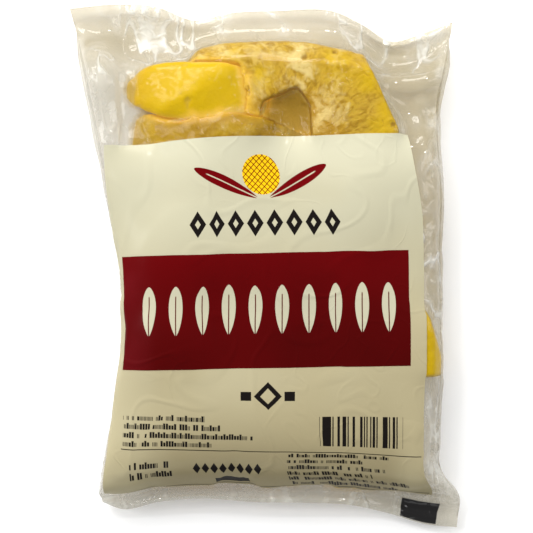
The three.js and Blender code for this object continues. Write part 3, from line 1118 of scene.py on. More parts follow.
class Wire:
    """A socket of a material's nodes that takes part in Python expressions."""

    def __init__(self, board: "Board", socket: bpy.types.NodeSocket) -> None:
        """Wrap a socket of a board."""
        self.board = board
        self.socket = socket

    def _math(self, operation: str, *values: "Wire | float") -> "Wire":
        """Add a Math node on these values."""
        return self.board.node("ShaderNodeMath", {"operation": operation}, dict(enumerate(values)))

    def __add__(self, other: "Wire | float") -> "Wire":
        """Return the sum."""
        return self._math("ADD", self, other)

    def __sub__(self, other: "Wire | float") -> "Wire":
        """Return the difference."""
        return self._math("SUBTRACT", self, other)

    def __rsub__(self, other: float) -> "Wire":
        """Return a number less this value."""
        return self._math("SUBTRACT", other, self)

    def __mul__(self, other: "Wire | float") -> "Wire":
        """Return the product."""
        return self._math("MULTIPLY", self, other)

    def __truediv__(self, other: "Wire | float") -> "Wire":
        """Return the quotient."""
        return self._math("DIVIDE", self, other)

    def __abs__(self) -> "Wire":
        """Return the size without its sign."""
        return self._math("ABSOLUTE", self)

    __radd__ = __add__
    __rmul__ = __mul__

    def power(self, exponent: float) -> "Wire":
        """Raise to a power."""
        return self._math("POWER", self, exponent)

    def floor(self) -> "Wire":
        """Round down."""
        return self._math("FLOOR", self)

    def fraction(self) -> "Wire":
        """Return what is left after rounding down."""
        return self._math("FRACT", self)

    def least(self, other: "Wire | float") -> "Wire":
        """Return the smaller value."""
        return self._math("MINIMUM", self, other)

    def most(self, other: "Wire | float") -> "Wire":
        """Return the larger value."""
        return self._math("MAXIMUM", self, other)

    def ease(self, low: float, high: float, to_low: float = 0.0, to_high: float = 1.0) -> "Wire":
        """Ease from one value to another.

        Args:
            low: Where the result leaves to_low.
            high: Where it reaches to_high.
            to_low: The first result.
            to_high: The last result.

        Returns:
            The eased value.
        """
        values = {"Value": self, "From Min": low, "From Max": high, "To Min": to_low, "To Max": to_high}
        return self.board.node("ShaderNodeMapRange", {"interpolation_type": "SMOOTHSTEP"}, values)

    def below(self, limit: float, soft: float) -> "Wire":
        """Return 1 where the value is under a limit and 0 above, with a soft edge."""
        return self.ease(limit - soft, limit + soft, 1.0, 0.0)

    def part(self, axis: str) -> "Wire":
        """Return one axis of a vector."""
        return self.board.node("ShaderNodeSeparateXYZ", {}, {"Vector": self}, axis)

    def scaled(self, factors: tuple[float, float, float]) -> "Wire":
        """Scale a vector along its axes."""
        return self.board.node("ShaderNodeVectorMath", {"operation": "MULTIPLY"}, {0: self, 1: factors})


class Board:
    """The nodes of one new material."""

    def __init__(self, name: str) -> None:
        """Start a material with an empty board.

        Args:
            name: The material's name.
        """
        self.material = bpy.data.materials.new(name)
        self.material.use_nodes = True
        self.tree = self.material.node_tree
        self.tree.nodes.clear()

    def node(
        self,
        kind: str,
        settings: dict[str, object],
        values: "dict[int | str, object]",
        output: "int | str" = 0,
    ) -> Wire:
        """Add any node.

        Args:
            kind: The node's type.
            settings: Its properties, which are set before its sockets.
            values: Links or values for its sockets, by name or place.
            output: Which output to return.

        Returns:
            That output.
        """
        made = self.tree.nodes.new(kind)
        for key, value in settings.items():
            setattr(made, key, value)
        for key, value in values.items():
            socket = made.inputs[key]
            if isinstance(value, Wire):
                self.tree.links.new(value.socket, socket)
            elif socket.type == "RGBA":
                socket.default_value = (*value, 1.0)
            else:
                socket.default_value = value
        return Wire(self, made.outputs[output])

    def mix(self, share: "Wire | float", first: "Wire | Colour", second: "Wire | Colour") -> Wire:
        """Mix two colours.

        Args:
            share: How much of the second is taken.
            first: The colour where the share is 0.
            second: The colour where it is 1.

        Returns:
            The mixed colour.
        """
        values = {"Factor": share, 6: first, 7: second}
        return self.node("ShaderNodeMix", {"data_type": "RGBA"}, values, 2)

    def noise(self, place: Wire, scale: float, detail: float, **more: float) -> Wire:
        """Read cloudy noise around 0.5.

        Args:
            place: Where to read it.
            scale: Its clouds for each unit of place.
            detail: How many finer layers it has.
            more: Values for the noise's other sockets.

        Returns:
            The noise.
        """
        values = {"Vector": place, "Scale": scale, "Detail": detail} | more
        return self.node("ShaderNodeTexNoise", {}, values)

    def objects(self) -> Wire:
        """Return the place on the object, in metres."""
        return self.node("ShaderNodeTexCoord", {}, {}, "Object")

    def attribute(self, name: str, output: str = "Fac") -> Wire:
        """Return a stored attribute."""
        return self.node("ShaderNodeAttribute", {"attribute_name": name}, {}, output)

    def bump(self, height: Wire, distance: float, strength: float) -> Wire:
        """Turn a height into a normal; distance is the height of 1, in metres."""
        values = {"Height": height, "Distance": distance, "Strength": strength}
        return self.node("ShaderNodeBump", {}, values)

    def shell(self, values: "dict[int | str, object]") -> Wire:
        """Return the general surface shader with these values."""
        return self.node("ShaderNodeBsdfPrincipled", {}, values)

    def draw(self, **seeds: Wire) -> Wire:
        """Return a number drawn for each value of W, or for each place of Vector."""
        count = "2D" if "Vector" in seeds else "1D"
        return self.node("ShaderNodeTexWhiteNoise", {"noise_dimensions": count}, seeds)

    def finish(self, surface: Wire) -> bpy.types.Material:
        """Make a shader the material's surface.

        Args:
            surface: The shader.

        Returns:
            The material.
        """
        output = self.tree.nodes.new("ShaderNodeOutputMaterial")
        self.tree.links.new(surface.socket, output.inputs["Surface"])
        return self.material


def shade(red: int, green: int, blue: int) -> Colour:
    """Turn a screen colour, 0 to 255, into linear light.

    Args:
        red: Its red.
        green: Its green.
        blue: Its blue.

    Returns:
        The colour that a shader takes.
    """
    return tuple(
        v / 12.92 if v <= 0.04045 else ((v + 0.055) / 1.055) ** 2.4
        for v in (red / 255.0, green / 255.0, blue / 255.0)
    )


# ---- Drawing ---------------------------------------------------------------------------------


Box = tuple[float, float, float, float]  # left, right, low and high
Spot = tuple[float, float]


@dataclass(frozen=True)
class BeadRow:
    """A row of upright lozenges.

    Attributes:
        box: Left, right, low and high of the row.
        pitch: Distance from bead to bead.
        outer: Half the width of a bead.
        inner: Half the width of its hole, or 0 for a bead without a hole.
    """

    box: Box
    pitch: float
    outer: float
    inner: float


@dataclass(frozen=True)
class Drawing:
    """Flat shapes as masks, which are 1 on the ink and 0 beside it.

    Attributes:
        board: The material's nodes.
        u: Place across, in the shapes' unit.
        v: Place along.
        edge: Softness of a shape's edge.
        letter: Pitch of the bars in a line of small print.
        bead_slope: Width of a bead for its height.
        leaf_powers: How bluntly a leaf starts and how bluntly it ends.
    """

    board: Board
    u: Wire
    v: Wire
    edge: float = 0.12
    letter: float = 1.55
    bead_slope: float = 0.62
    leaf_powers: tuple[float, float] = (0.8, 0.62)

    def bar(self, box: Box) -> Wire:
        """Return a rectangle's mask.

        Args:
            box: Left, right, low and high.

        Returns:
            The mask.
        """
        left, right, low, high = box
        across = abs(self.u - (left + right) / 2.0).below((right - left) / 2.0, self.edge)
        return across * abs(self.v - (low + high) / 2.0).below((high - low) / 2.0, self.edge)

    def bead_row(self, row: BeadRow) -> Wire:
        """Return the mask of a row of lozenges.

        Args:
            row: The row.

        Returns:
            The mask.
        """
        left, _, low, high = row.box
        aside = abs(((self.u - left) / row.pitch).fraction() - 0.5) * row.pitch
        reach = aside + abs(self.v - (low + high) / 2.0) * self.bead_slope
        bead = reach.below(row.outer, self.edge)
        if row.inner:
            bead = bead * (1.0 - reach.below(row.inner, self.edge))
        return bead * self.bar(row.box)

    def text_lines(self, box: Box, lines: int, seed: float) -> Wire:
        """Return a mask of plain broken bars, laid out as lines of small print are.

        Args:
            box: Left, right, low and high of the block.
            lines: How many lines it holds.
            seed: Which breaks between the bars to take.

        Returns:
            The mask.
        """
        left, right, low, high = box
        level = (self.v - low) / ((high - low) / lines)
        line = level.floor()
        aside = abs((self.u / self.letter).fraction() - 0.5)
        cell = {"X": (self.u / self.letter).floor(), "Y": line + seed}
        drawn = self.board.draw(Vector=self.board.node("ShaderNodeCombineXYZ", {}, cell))
        short = abs(level.fraction() - 0.42).below(0.24, 0.04)
        tall = abs(level.fraction() - 0.5).below(0.34, 0.04) * drawn.ease(0.7, 0.72)
        stroke = aside.below(0.4, 0.06) * drawn.ease(0.14, 0.16)
        hole = aside.below(0.12, 0.05) * drawn.below(0.5, 0.01)
        end = right - self.board.draw(W=line + seed) * (right - left) * 0.4
        kept = (self.u - end).below(0.0, 0.2) * self.bar(box)
        return short.most(tall) * stroke * (1.0 - hole) * kept

    def leaf(self, base: Spot, tip: Spot, width: float) -> Wire:
        """Return the mask of a pointed leaf with a bare rib.

        Args:
            base: Where the leaf starts.
            tip: Where it ends.
            width: Its greatest width.

        Returns:
            The mask.
        """
        run = (tip[0] - base[0], tip[1] - base[1])
        length = math.hypot(*run)
        right, up = run[0] / length, run[1] / length
        share = ((self.u - base[0]) * right + (self.v - base[1]) * up) / length
        aside = abs((self.v - base[1]) * right - (self.u - base[0]) * up)
        inside = abs(share - 0.5).below(0.5, 0.01)
        start, end = self.leaf_powers
        widest = start / (start + end)
        full = widest**start * (1.0 - widest) ** end
        widening = share.most(0.0).least(1.0).power(start)
        narrowing = (1.0 - share).most(0.0).power(end)
        half = widening * narrowing * (width / 2.0 / full)
        body = (aside - half).below(0.0, self.edge)
        rib = aside.below(0.32, self.edge) * share.below(0.8, 0.02)
        return inside * body * (1.0 - rib)


# ---- Finishes --------------------------------------------------------------------------------


@dataclass(frozen=True)
class FleshFinish:
    """Frozen breadfruit flesh: wet yellow where film clings, frosted and tan elsewhere.

    Attributes:
        ripe: Colour of ripe, wet flesh.
        pale: Colour of pale flesh, and of the rims where two pieces meet.
        tan: Colour of the core, of darkened pieces and of fibres.
        frost: Colour of frost on the flesh.
        dark: Colour of the pits.
        glow: Painted light, given off round the core to lift its shade.
        seam_glow: Painted light, given off where two pieces meet to lift the shade in the gaps.
    """

    ripe: Colour = shade(212, 178, 0)
    pale: Colour = shade(196, 162, 56)
    tan: Colour = shade(158, 122, 28)
    frost: Colour = shade(218, 197, 132)
    dark: Colour = shade(132, 96, 20)
    glow: Colour = shade(112, 82, 18)
    seam_glow: Colour = shade(138, 106, 30)

    def material(self) -> bpy.types.Material:
        """Return the finish as a material."""
        board = Board("breadfruit_flesh")
        place = board.objects()
        fibre = board.attribute("fibre", "Vector")
        cling = board.attribute("cling")
        pitted = board.attribute("pitted")
        ripe = board.attribute("ripe")
        core = board.attribute("core")
        seam = board.attribute("seam")
        darkened = board.attribute("darkened")
        streaks = board.noise(fibre, 1.6, 4.0, Distortion=0.8)
        broad = board.noise(place, 34.0, 3.0)
        clouds = board.noise(place.scaled((1.0, 1.0, 0.6)), 70.0, 5.0, Distortion=0.6)
        mottle = board.noise(place, 260.0, 4.0, Distortion=0.8)
        thawed = place.part("X").ease(0.04, 0.062)
        wet = (ripe * 0.8 + cling * 0.2 + thawed * 0.16 + (broad - 0.5) * 1.3).ease(0.4, 0.9)
        cloudy = clouds * 0.7 + mottle * 0.3 + (0.5 - ripe) * 0.12 - thawed * 0.1
        frosted = cloudy.ease(0.47, 0.69)
        speckle = 1.0 - ripe * 0.75
        flesh = board.mix((streaks + core * 0.3).ease(0.38, 0.72), self.pale, self.tan)
        flesh = board.mix(wet * (1.0 - core * 0.35), flesh, self.ripe)
        flesh = board.mix(frosted * (1.0 - wet * 0.95), flesh, self.frost)
        flesh = board.mix(seam * 0.8, flesh, self.pale)
        flesh = board.mix(darkened * clouds.ease(0.3, 0.6, 1.0, 0.5), flesh, self.tan)
        flesh = board.mix((1.0 - cling) * ripe * 0.5, flesh, self.frost)
        flesh = board.mix(mottle.ease(0.3, 0.42, 0.55, 0.0) * speckle, flesh, self.tan)
        flesh = board.mix(pitted.ease(0.1, 0.9) * speckle * 0.9, flesh, self.dark)
        relief = (streaks * 0.5 + mottle * 0.5 + clouds) * (1.1 - ripe * 0.65)
        # Painted light: emission that lifts the shade round the core and in the gaps between pieces.
        glow = board.mix(seam, board.mix(core * 0.7, BLACK, self.glow), self.seam_glow)
        return board.finish(board.shell({
            "Base Color": flesh,
            "Roughness": frosted.ease(0.0, 1.0, 0.38, 0.65),
            "Normal": board.bump(relief, 0.0014, 0.8),
            "Subsurface Weight": 0.12,
            "Subsurface Radius": (0.006, 0.004, 0.0015),
            "Subsurface Scale": 0.5,
            "Specular IOR Level": 0.14,
            "Emission Color": glow,
            "Emission Strength": 1.0,
        }))


def crinkles(board: Board, place: Wire, size: float, fold: float, swirl: float) -> Wire:
    """Return the height of sharp, branching creases in film.

    Args:
        board: The material's nodes.
        place: Place on the film, in metres.
        size: Distance between folds, in metres.
        fold: Width of a fold, as a share of that distance.
        swirl: How much the folds curl.

    Returns:
        A height, 0 on the flat and 1 on a crease.
    """
    waves = board.noise(place, 1.0 / size, 1.0, Distortion=swirl)
    return abs(waves - 0.5).ease(0.0, fold * 0.5, 1.0, 0.0)


@dataclass(frozen=True)
class FilmFinish:
    """Glossy film, milky where it hangs free, frosted in the cracks and clear on the fruit.

    Attributes:
        milk: Colour of free film.
        shaded_milk: Painted shade: the darker, warmer colour that free film has to the right and at the
            top end.
        white: Colour of its creases.
        frost: Colour of the frost under film that spans a crack.
        hollow_shade: Painted shade, a dark olive, over the hollows and the deeper cracks between pieces.
        ink: Colour of the printed block on the bottom flap.
        tint: What clear film lets through.
        free_haze: How milky free film is, from 0 for clear to 1.
        contact_haze: The same on the fruit.
        frost_haze: The same over a crack.
        hollow_shade_haze: The same in a hollow between pieces, where the film carries that painted shade,
            in the high and in the low wall.
        crease_haze: The same on a crease of free film.
        block: Left, right, low and high of the printed block, as shares of the front wall.
        block_edge: Softness of the block's edge, as a share of the wall.
    """

    milk: Colour = shade(206, 205, 198)
    shaded_milk: Colour = shade(186, 174, 141)
    white: Colour = shade(230, 229, 221)
    frost: Colour = shade(206, 178, 92)
    hollow_shade: Colour = shade(164, 132, 42)
    ink: Colour = shade(22, 20, 20)
    tint: Colour = (0.94, 0.92, 0.87)
    free_haze: float = 0.34
    contact_haze: float = 0.01
    frost_haze: float = 0.45
    hollow_shade_haze: tuple[float, float] = (0.3, 0.9)
    crease_haze: float = 0.5
    block: Box = (0.808, 0.915, 0.002, 0.029)
    block_edge: float = 0.0008

    def material(self) -> bpy.types.Material:
        """Return the finish as a material."""
        board = Board("clear_film")
        place = board.objects()
        distance = board.attribute("distance")
        over = board.attribute("over")
        hollow = board.attribute("hollow")
        creases = self._creases(board, place)
        lines = creases.least(1.0) * (1.0 - over)
        normal = board.bump(creases, 0.0009, 0.8)
        shares = board.node("ShaderNodeUVMap", {"uv_map": "film"}, {})
        block = Drawing(board, shares.part("X"), shares.part("Y"), self.block_edge).bar(self.block)
        # Painted shade: free film is darker and warmer to the right and along the top end.
        milk = board.mix(self._shaded_side(place), self.milk, self.shaded_milk)
        milk = board.mix(lines, milk, self.white)
        milk = board.mix(over, milk, self.frost)
        # Painted shade: dark olive film over the hollows and the deeper cracks.
        milk = board.mix(hollow.most(distance.ease(0.8, 2.4) * over), milk, self.hollow_shade)
        haze = self._haze(board, place, distance, over)
        # The low wall under a hollow is made nearly opaque with that painted shade.
        low_wall = place.part("Z").ease(0.002, 0.006, *self.hollow_shade_haze[::-1])
        haze = haze.most(hollow * low_wall).most(lines * self.crease_haze)
        milky = board.shell({
            "Base Color": board.mix(block, milk, self.ink),
            "Roughness": 0.45,
            "Specular IOR Level": 0.15,
            "Normal": normal,
        })
        clear = board.node("ShaderNodeBsdfTransparent", {}, {"Color": self.tint})
        body = board.node("ShaderNodeMixShader", {}, {0: haze.most(block), 1: clear, 2: milky})
        gloss = board.node("ShaderNodeBsdfGlossy", {}, {"Roughness": 0.07, "Normal": normal})
        sheen = board.node("ShaderNodeFresnel", {}, {"IOR": 1.45}).least(0.14) * (1.0 - over * 0.6)
        return board.finish(board.node("ShaderNodeMixShader", {}, {0: sheen, 1: body, 2: gloss}))

    def _creases(self, board: Board, place: Wire) -> Wire:
        """Return the height of the film's creases, strong in some places and weak in others.

        Args:
            board: The material's nodes.
            place: Place on the film, in metres.

        Returns:
            The height.
        """
        turned = {"Vector": place, "Rotation": (0.0, 0.0, math.radians(35.0)), "Scale": (1.0, 0.4, 1.0)}
        slanted = board.node("ShaderNodeMapping", {}, turned)
        strength = board.noise(place, 22.0, 1.0).ease(0.38, 0.62)
        long_folds = crinkles(board, slanted, 0.017, 0.11, 0.4)
        short_folds = crinkles(board, place, 0.009, 0.2, 0.3)
        return (long_folds + short_folds * 0.3) * strength

    def _shaded_side(self, place: Wire) -> Wire:
        """Return where free film takes painted shade: to the right, and along the top end.

        Args:
            place: Place on the film, in metres.

        Returns:
            1 where it is warm and 0 elsewhere.
        """
        x, y = place.part("X"), place.part("Y")
        right_side = x.ease(-0.06, 0.08) * y.ease(-0.12, 0.02, 0.25, 1.0)
        return right_side.most(y.ease(0.1, 0.135, 0.0, 0.9))

    def _haze(self, board: Board, place: Wire, distance: Wire, over: Wire) -> Wire:
        """Return how milky the film is where it hangs free, spans a crack or lies on the fruit.

        Args:
            board: The material's nodes.
            place: Place on the film, in metres.
            distance: Distance to the fruit, in millimetres.
            over: 1 where fruit lies under or over the film, and 0 elsewhere.

        Returns:
            The haze, from 0 for clear to 1.
        """
        clouds = board.noise(place, 45.0, 3.0)
        contact = (distance + (clouds - 0.5) * 3.0).ease(0.7, 3.0, 1.0, 0.0)
        veil = clouds.ease(0.45, 0.75, 0.02, 0.14) * (1.0 - contact) + contact * self.contact_haze
        crack = distance.ease(0.8, 1.8) * over
        return (over * veil + (1.0 - over) * self.free_haze).most(crack * self.frost_haze)


@dataclass(frozen=True)
class InkFinish:
    """Opaque ink seen through glossy film.

    Attributes:
        name: The material's name.
        size: Width and length over which the art is laid out, in millimetres.
        ground: Colour of the ink at the top end.
        aged_and_shaded: Colour that it takes in cloudy patches, as age, and lower down, as painted shade.
        bottom_shade: Painted shade that it takes towards the bottom end.
        painted_light: Painted light: a lighter colour at its top end, and painted sheen at its left side.
        left_sheen: How much painted sheen its left side takes, from 0 to 1.
        art: Draws the printed motifs over the ground.
    """

    name: str
    size: tuple[float, float]
    ground: Colour
    aged_and_shaded: Colour
    bottom_shade: Colour
    painted_light: Colour
    left_sheen: float
    art: Callable[[Drawing, Wire], Wire]

    def material(self) -> bpy.types.Material:
        """Return the finish as a material."""
        board = Board(self.name)
        place = board.objects()
        shares = board.node("ShaderNodeUVMap", {"uv_map": "film"}, {})
        drawing = Drawing(board, shares.part("X") * self.size[0], shares.part("Y") * self.size[1])
        clouds = board.noise(place, 14.0, 3.0)
        broad_folds = crinkles(board, place, 0.055, 0.1, 0.8)
        fine_folds = crinkles(board, place, 0.024, 0.08, 0.4) * clouds.ease(0.45, 0.6, 0.0, 0.35)
        creases = broad_folds * 0.7 + board.noise(place, 40.0, 3.0) + fine_folds
        return board.finish(board.shell({
            "Base Color": self.art(drawing, self._shaded_ground(board, place, clouds)),
            "Roughness": 0.42,
            "Coat Weight": 0.17,
            "Coat Roughness": 0.15,
            "Specular IOR Level": 0.02,
            "Normal": board.bump(creases, 0.0008, 0.4),
        }))

    def _shaded_ground(self, board: Board, place: Wire, clouds: Wire) -> Wire:
        """Return the ink's colour, with aged patches, painted shade lower down, and painted light at its
        top end and its left side.

        Args:
            board: The material's nodes.
            place: Place on the print, in metres.
            clouds: Broad noise.

        Returns:
            The colour.
        """
        x, y = place.part("X"), place.part("Y")
        # Age comes in random cloudy patches; the fall towards the bottom end is painted shade.
        age_and_shade = clouds.ease(0.35, 0.7, 0.0, 0.25) + y.ease(-0.05, 0.05, 0.75, 0.0)
        # Painted shade: the print darkens towards the bottom end, most in the middle.
        bottom_shading = y.ease(-0.112, -0.055, 1.0, 0.0) * x.ease(-0.09, -0.045) * x.ease(0.068, 0.085, 1.0, 0.4)
        # Painted sheen on the left side, and painted light that lightens the top end.
        left_sheen_mask = x.ease(-0.088, -0.06, self.left_sheen, 0.0) * clouds.ease(0.3, 0.7)
        top_light_mask = y.ease(0.04, 0.068) * x.ease(-0.09, -0.03, 0.3, 1.0)
        ground = board.mix(age_and_shade, self.ground, self.aged_and_shaded)
        ground = board.mix(bottom_shading, ground, self.bottom_shade)
        return board.mix(left_sheen_mask.most(top_light_mask), ground, self.painted_light)


INK_BLACK = shade(22, 18, 16)
INK_MAROON = shade(104, 0, 4)
INK_YELLOW = shade(240, 192, 16)
# Aged patches of the band, and its painted shade lower down.
DARK_MAROON = shade(72, 0, 0)
# Painted sheen on the band's left side.
SHEEN_MAROON = shade(136, 34, 44)
CREAM = shade(188, 184, 158)
# Painted light on the panel's top end.
LIT_CREAM = shade(203, 199, 172)
# Aged patches of the panel, and its painted shade lower down.
DULL_CREAM = shade(177, 166, 131)
# Painted shade towards the panel's bottom end.
SHADED_CREAM = shade(152, 141, 108)


@dataclass(frozen=True)
class PanelArt:
    """The cream panel's generic print, laid out in millimetres from its bottom left corner.

    Attributes:
        fruit: Middle of the emblem's fruit.
        fruit_radius: Its radius.
        net: Spacing of the net on it.
        leaves: Base and tip of each leaf beside it.
        leaf_width: Greatest width of a leaf.
        rings: The row of rings under it.
        mark: Middle of the lozenge under the band.
        mark_sizes: Half its width outside and inside.
        mark_sides: The bars at its sides.
        text: The blocks of broken bars: a box, a number of lines, and which breaks it takes.
        beads: The row of small beads in the bottom line.
        bottom_bar: The bar under them.
        code: Where the stripes lie.
        stripe: Pitch of the stripes.
        upper_rule: Height of the slanting rule, and its fall for each millimetre across.
        lower_rule: Height of the rule at the bottom.
        rule: Half the thickness of a rule, and the softness of its edge.
        ruled: Where the rules lie.
    """

    fruit: Spot = (94.0, 185.0)
    fruit_radius: float = 11.0
    net: float = 3.4
    leaves: tuple[tuple[Spot, Spot], ...] = (
        ((91.0, 172.0), (55.0, 190.0)),
        ((97.0, 172.0), (133.0, 190.0)),
    )
    leaf_width: float = 6.95
    rings: BeadRow = BeadRow((50.0, 138.0, 149.0, 167.0), 11.0, 4.7, 1.6)
    mark: Spot = (95.5, 60.0)
    mark_sizes: tuple[float, float] = (8.0, 4.4)
    mark_sides: tuple[Box, Box] = ((80.0, 86.0, 57.5, 62.5), (105.0, 111.0, 57.5, 62.5))
    text: tuple[tuple[Box, int, float], ...] = (
        ((12.0, 87.0, 28.0, 49.0), 4, 3.0),
        ((106.0, 177.0, 2.5, 26.0), 6, 11.0),
        ((16.0, 43.0, 9.0, 20.5), 2, 23.0),
    )
    beads: BeadRow = BeadRow((52.0, 92.0, 10.5, 19.5), 5.0, 2.2, 0.0)
    bottom_bar: Box = (64.0, 83.0, 3.4, 7.6)
    code: Box = (125.0, 173.0, 31.0, 49.0)
    stripe: float = 0.72
    upper_rule: tuple[float, float] = (27.2, 0.006)
    lower_rule: float = 1.6
    rule: tuple[float, float] = (0.28, 0.08)
    ruled: Box = (11.0, 184.0, 0.5, 30.0)

    def __call__(self, drawing: Drawing, ground: Wire) -> Wire:
        """Draw the whole print over the ground's colour.

        Args:
            drawing: What draws on the panel.
            ground: The ground's colour.

        Returns:
            The printed colour.
        """
        colour = self._emblem(drawing, ground)
        black = drawing.bead_row(self.rings)
        black = black.most(self._mark(drawing)).most(self._small_print(drawing))
        black = black.most(self._stripes(drawing)).most(self._rules(drawing))
        return drawing.board.mix(black, colour, INK_BLACK)

    def _emblem(self, drawing: Drawing, colour: Wire) -> Wire:
        """Draw a netted fruit between its leaves.

        Args:
            drawing: What draws on the panel.
            colour: The colour under it.

        Returns:
            The colour with the emblem.
        """
        leaves = [drawing.leaf(base, tip, self.leaf_width) for base, tip in self.leaves]
        colour = drawing.board.mix(leaves[0].most(leaves[1]), colour, INK_MAROON)
        across, along = drawing.u - self.fruit[0], drawing.v - self.fruit[1]
        disc = (across * across + along * along).power(0.5).below(self.fruit_radius, drawing.edge)
        colour = drawing.board.mix(disc, colour, INK_YELLOW)
        rising = abs(((drawing.u + drawing.v) / self.net).fraction() - 0.5)
        falling = abs(((drawing.u - drawing.v) / self.net + 50.0).fraction() - 0.5)
        return drawing.board.mix(disc * rising.least(falling).below(0.09, 0.03), colour, INK_MAROON)

    def _mark(self, drawing: Drawing) -> Wire:
        """Return the mask of the open lozenge and the bars at its sides.

        Args:
            drawing: What draws on the panel.

        Returns:
            The mask.
        """
        from_middle = abs(drawing.u - self.mark[0]) + abs(drawing.v - self.mark[1])
        outer, inner = (from_middle.below(size, drawing.edge) for size in self.mark_sizes)
        left, right = (drawing.bar(box) for box in self.mark_sides)
        return (outer * (1.0 - inner)).most(left).most(right)

    def _small_print(self, drawing: Drawing) -> Wire:
        """Return the mask of the broken bars, the beads and the bottom bar.

        Args:
            drawing: What draws on the panel.

        Returns:
            The mask.
        """
        mask = drawing.bar(self.bottom_bar).most(drawing.bead_row(self.beads))
        for box, lines, seed in self.text:
            mask = mask.most(drawing.text_lines(box, lines, seed))
        return mask

    def _stripes(self, drawing: Drawing) -> Wire:
        """Return the mask of irregular upright stripes."""
        drawn = drawing.board.draw(W=(drawing.u / self.stripe).floor() + 5.0)
        return drawn.below(0.55, 0.001) * drawing.bar(self.code)

    def _rules(self, drawing: Drawing) -> Wire:
        """Return the mask of the two rules.

        Args:
            drawing: What draws on the panel.

        Returns:
            The mask.
        """
        height, fall = self.upper_rule
        upper = abs(drawing.v - height + drawing.u * fall).below(*self.rule)
        lower = abs(drawing.v - self.lower_rule).below(*self.rule)
        return upper.most(lower) * drawing.bar(self.ruled)


@dataclass(frozen=True)
class BandArt:
    """The maroon band's row of cream leaves, laid out in millimetres from its bottom left corner.

    Attributes:
        first: Where the row starts.
        count: How many leaves it has.
        pitch: Distance from leaf to leaf.
        ends: Heights of a leaf's base and tip.
        width: Greatest width of a leaf.
        margin: Space that is kept below and above the leaves.
    """

    first: float = 9.0
    count: int = 10
    pitch: float = 15.2
    ends: tuple[float, float] = (19.5, 48.5)
    width: float = 7.90
    margin: float = 2.5

    def __call__(self, drawing: Drawing, ground: Wire) -> Wire:
        """Draw the row over the ground's colour.

        Args:
            drawing: What draws on the band.
            ground: The ground's colour.

        Returns:
            The printed colour.
        """
        local = ((drawing.u - self.first) / self.pitch).fraction() * self.pitch
        cell = Drawing(drawing.board, local, drawing.v)
        base, tip = ((self.pitch / 2.0, height) for height in self.ends)
        row = (self.first, self.first + self.count * self.pitch)
        kept = drawing.bar((*row, self.ends[0] - self.margin, self.ends[1] + self.margin))
        return drawing.board.mix(cell.leaf(base, tip, self.width) * kept, ground, CREAM)


# ---- Stage -----------------------------------------------------------------------------------


@dataclass(frozen=True)
class Lamp:
    """A soft area light aimed at the pack, in metres and watts.

    Attributes:
        name: Its name.
        place: Where it stands.
        size: Its width and height.
        power: Its power.
    """

    name: str
    place: tuple[float, float, float]
    size: tuple[float, float]
    power: float

    def build(self) -> None:
        """Hang the light."""
        data = bpy.data.lights.new(self.name, "AREA")
        data.shape = "RECTANGLE"
        data.size, data.size_y = self.size
        data.energy = self.power
        light = bpy.data.objects.new(self.name, data)
        light.location = self.place
        light.rotation_euler = Vector(self.place).to_track_quat("Z", "Y").to_euler()
        bpy.context.scene.collection.objects.link(light)


@dataclass
class Stage:
    """The pale floor, the lights and the camera that looks straight down, in metres.

    Attributes:
        camera_height: Height of the camera over the floor.
        picture_width: Width of the picture, in its own points.
        point: What one of those points spans on the pack.
        middle: Where the camera stands.
        focus_height: Height at which that span is right.
        film_width: Width of the camera's film, in millimetres.
        floor_size: Half the floor's side.
        floor_colour: Colour of the floor.
        floor_glow: Light that the floor gives off, which softens shadows.
        sky: Colour of the surroundings.
        sky_strength: How brightly they shine.
        lamps: The lights; the two small ones put glints on the film.
    """

    camera_height: float = 0.95
    picture_width: int = 533
    point: float = 0.578 * MM
    middle: tuple[float, float] = (0.0010, 0.0)
    focus_height: float = 0.022
    film_width: float = 36.0
    floor_size: float = 3.0
    floor_colour: Colour = (0.93, 0.93, 0.925)
    floor_glow: float = 0.14
    sky: Colour = (0.97, 0.98, 1.0)
    sky_strength: float = 0.33
    lamps: tuple[Lamp, ...] = (
        Lamp("window", (-0.4, 1.1, 0.95), (1.4, 0.5), 20.0),
        Lamp("left_panel", (-1.25, 0.35, 0.95), (0.4, 1.2), 10.0),
        Lamp("right_panel", (1.3, 0.3, 0.95), (0.4, 1.2), 5.5),
        Lamp("near_panel", (0.1, -1.4, 0.95), (1.6, 0.4), 2.3),
        Lamp("right_lamp", (0.5, 0.75, 1.1), (0.08, 0.08), 2.5),
        Lamp("left_lamp", (-0.55, 0.7, 1.1), (0.08, 0.08), 2.5),
    )

    def build(self) -> None:
        """Make floor, lights, surroundings and camera."""
        bpy.context.scene.view_settings.view_transform = "Standard"
        self._floor()
        for lamp in self.lamps:
            lamp.build()
        self._surroundings()
        self._camera()

    def _floor(self) -> None:
        """Make a wide pale floor."""
        build = bmesh.new()
        bmesh.ops.create_grid(build, x_segments=1, y_segments=1, size=self.floor_size)
        mesh = bpy.data.meshes.new("floor")
        build.to_mesh(mesh)
        build.free()
        floor = as_object("floor", mesh)
        board = Board("pale_floor")
        mesh.materials.append(board.finish(board.shell({
            "Base Color": self.floor_colour,
            "Roughness": 0.9,
            "Emission Color": self.floor_colour,
            "Emission Strength": self.floor_glow,
        })))

    def _surroundings(self) -> None:
        """Light the pack evenly from all round."""
        world = bpy.data.worlds.new("surroundings")
        world.use_nodes = True
        inputs = world.node_tree.nodes["Background"].inputs
        inputs["Color"].default_value = (*self.sky, 1.0)
        inputs["Strength"].default_value = self.sky_strength
        bpy.context.scene.world = world

    def _camera(self) -> None:
        """Look straight down on the printed side."""
        data = bpy.data.cameras.new("camera")
        camera = bpy.data.objects.new("camera", data)
        distance = self.camera_height - self.focus_height
        data.sensor_width = self.film_width
        data.lens = self.film_width * distance / (self.picture_width * self.point)
        camera.location = (*self.middle, self.camera_height)
        bpy.context.scene.collection.objects.link(camera)
        bpy.context.scene.camera = camera


# ---- Pack ------------------------------------------------------------------------------------


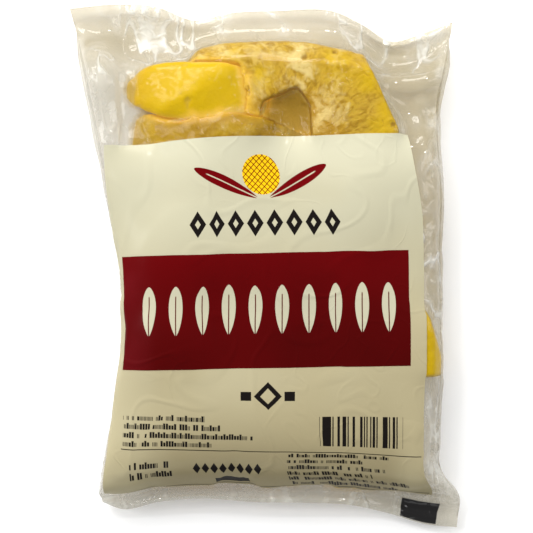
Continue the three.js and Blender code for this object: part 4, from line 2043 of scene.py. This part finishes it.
@dataclass
class Pack:
    """The filled pouch: fruit, film and print.

    Attributes:
        fruit: The pieces inside.
        film: The tube round them.
        press_room: Distance that is kept between flesh and film.
        cling_reach: Distance at which film no longer clings to the flesh.
        panel_lift: Height of the cream panel's ink over the film.
        band_lift: Height of the maroon band's ink over the film.
        panel_size: Width and length over which the panel's art is laid out.
        band_size: Width and length over which the band's art is laid out.
    """

    fruit: FruitPieces = field(default_factory=FruitPieces)
    film: FilmTube = field(default_factory=FilmTube)
    press_room: float = 0.35
    cling_reach: float = 3.2
    panel_lift: float = 0.14
    band_lift: float = 0.24
    panel_size: tuple[float, float] = (185.5, 206.0)
    band_size: tuple[float, float] = (165.4, 66.7)

    def build(self) -> None:
        """Make and dress every piece."""
        self.fruit.build()
        contents = ContentsField(self.fruit.surface())
        self.film.build(contents)
        self.fruit.press(self.film.tree(), self.press_room, self.cling_reach)
        flesh = FleshFinish().material()
        for piece in self.fruit.pieces:
            piece.data.materials.clear()
            piece.data.materials.append(flesh)
        pouch = self.film.pouch(contents)
        self._place(pouch, "clear_film", FilmFinish().material(), "film_front", "film_back")
        panel = self.film.sheet("printed_panel", PANEL, self.panel_lift)
        # Cream ground, aged patches with painted shade lower down, painted shade at the bottom end,
        # painted light at the top end.
        creams = (CREAM, DULL_CREAM, SHADED_CREAM, LIT_CREAM)
        finish = InkFinish("cream_print", self.panel_size, *creams, 0.0, PanelArt())
        self._place(panel, "cream_print", finish.material(), "print_panel")
        band = self.film.sheet("printed_band", BAND, self.band_lift)
        # Maroon ground, aged patches with painted shade lower down, the same at the bottom end, painted
        # sheen at the left side.
        maroons = (INK_MAROON, DARK_MAROON, DARK_MAROON, SHEEN_MAROON)
        finish = InkFinish("maroon_print", self.band_size, *maroons, 0.8, BandArt())
        self._place(band, "maroon_print", finish.material(), "print_band")

    def _place(
        self, piece: bpy.types.Object, slot: str, material: bpy.types.Material, *nodes: str
    ) -> None:
        """Dress a piece and tie it to the frame.

        Args:
            piece: The piece.
            slot: Not used.
            material: Its finish.
            nodes: The CAD nodes that it replaces.
        """
        piece.data.materials.append(material)
        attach(piece, "root")
        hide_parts(*nodes)
        LOG.info("%s: %d points", piece.name, len(piece.data.vertices))


def main() -> None:
    """Build the pack and its stage."""
    logging.basicConfig(level=logging.INFO, format="%(name)s: %(message)s")
    Stage().build()
    Pack().build()


if __name__ == "__main__":
    main()
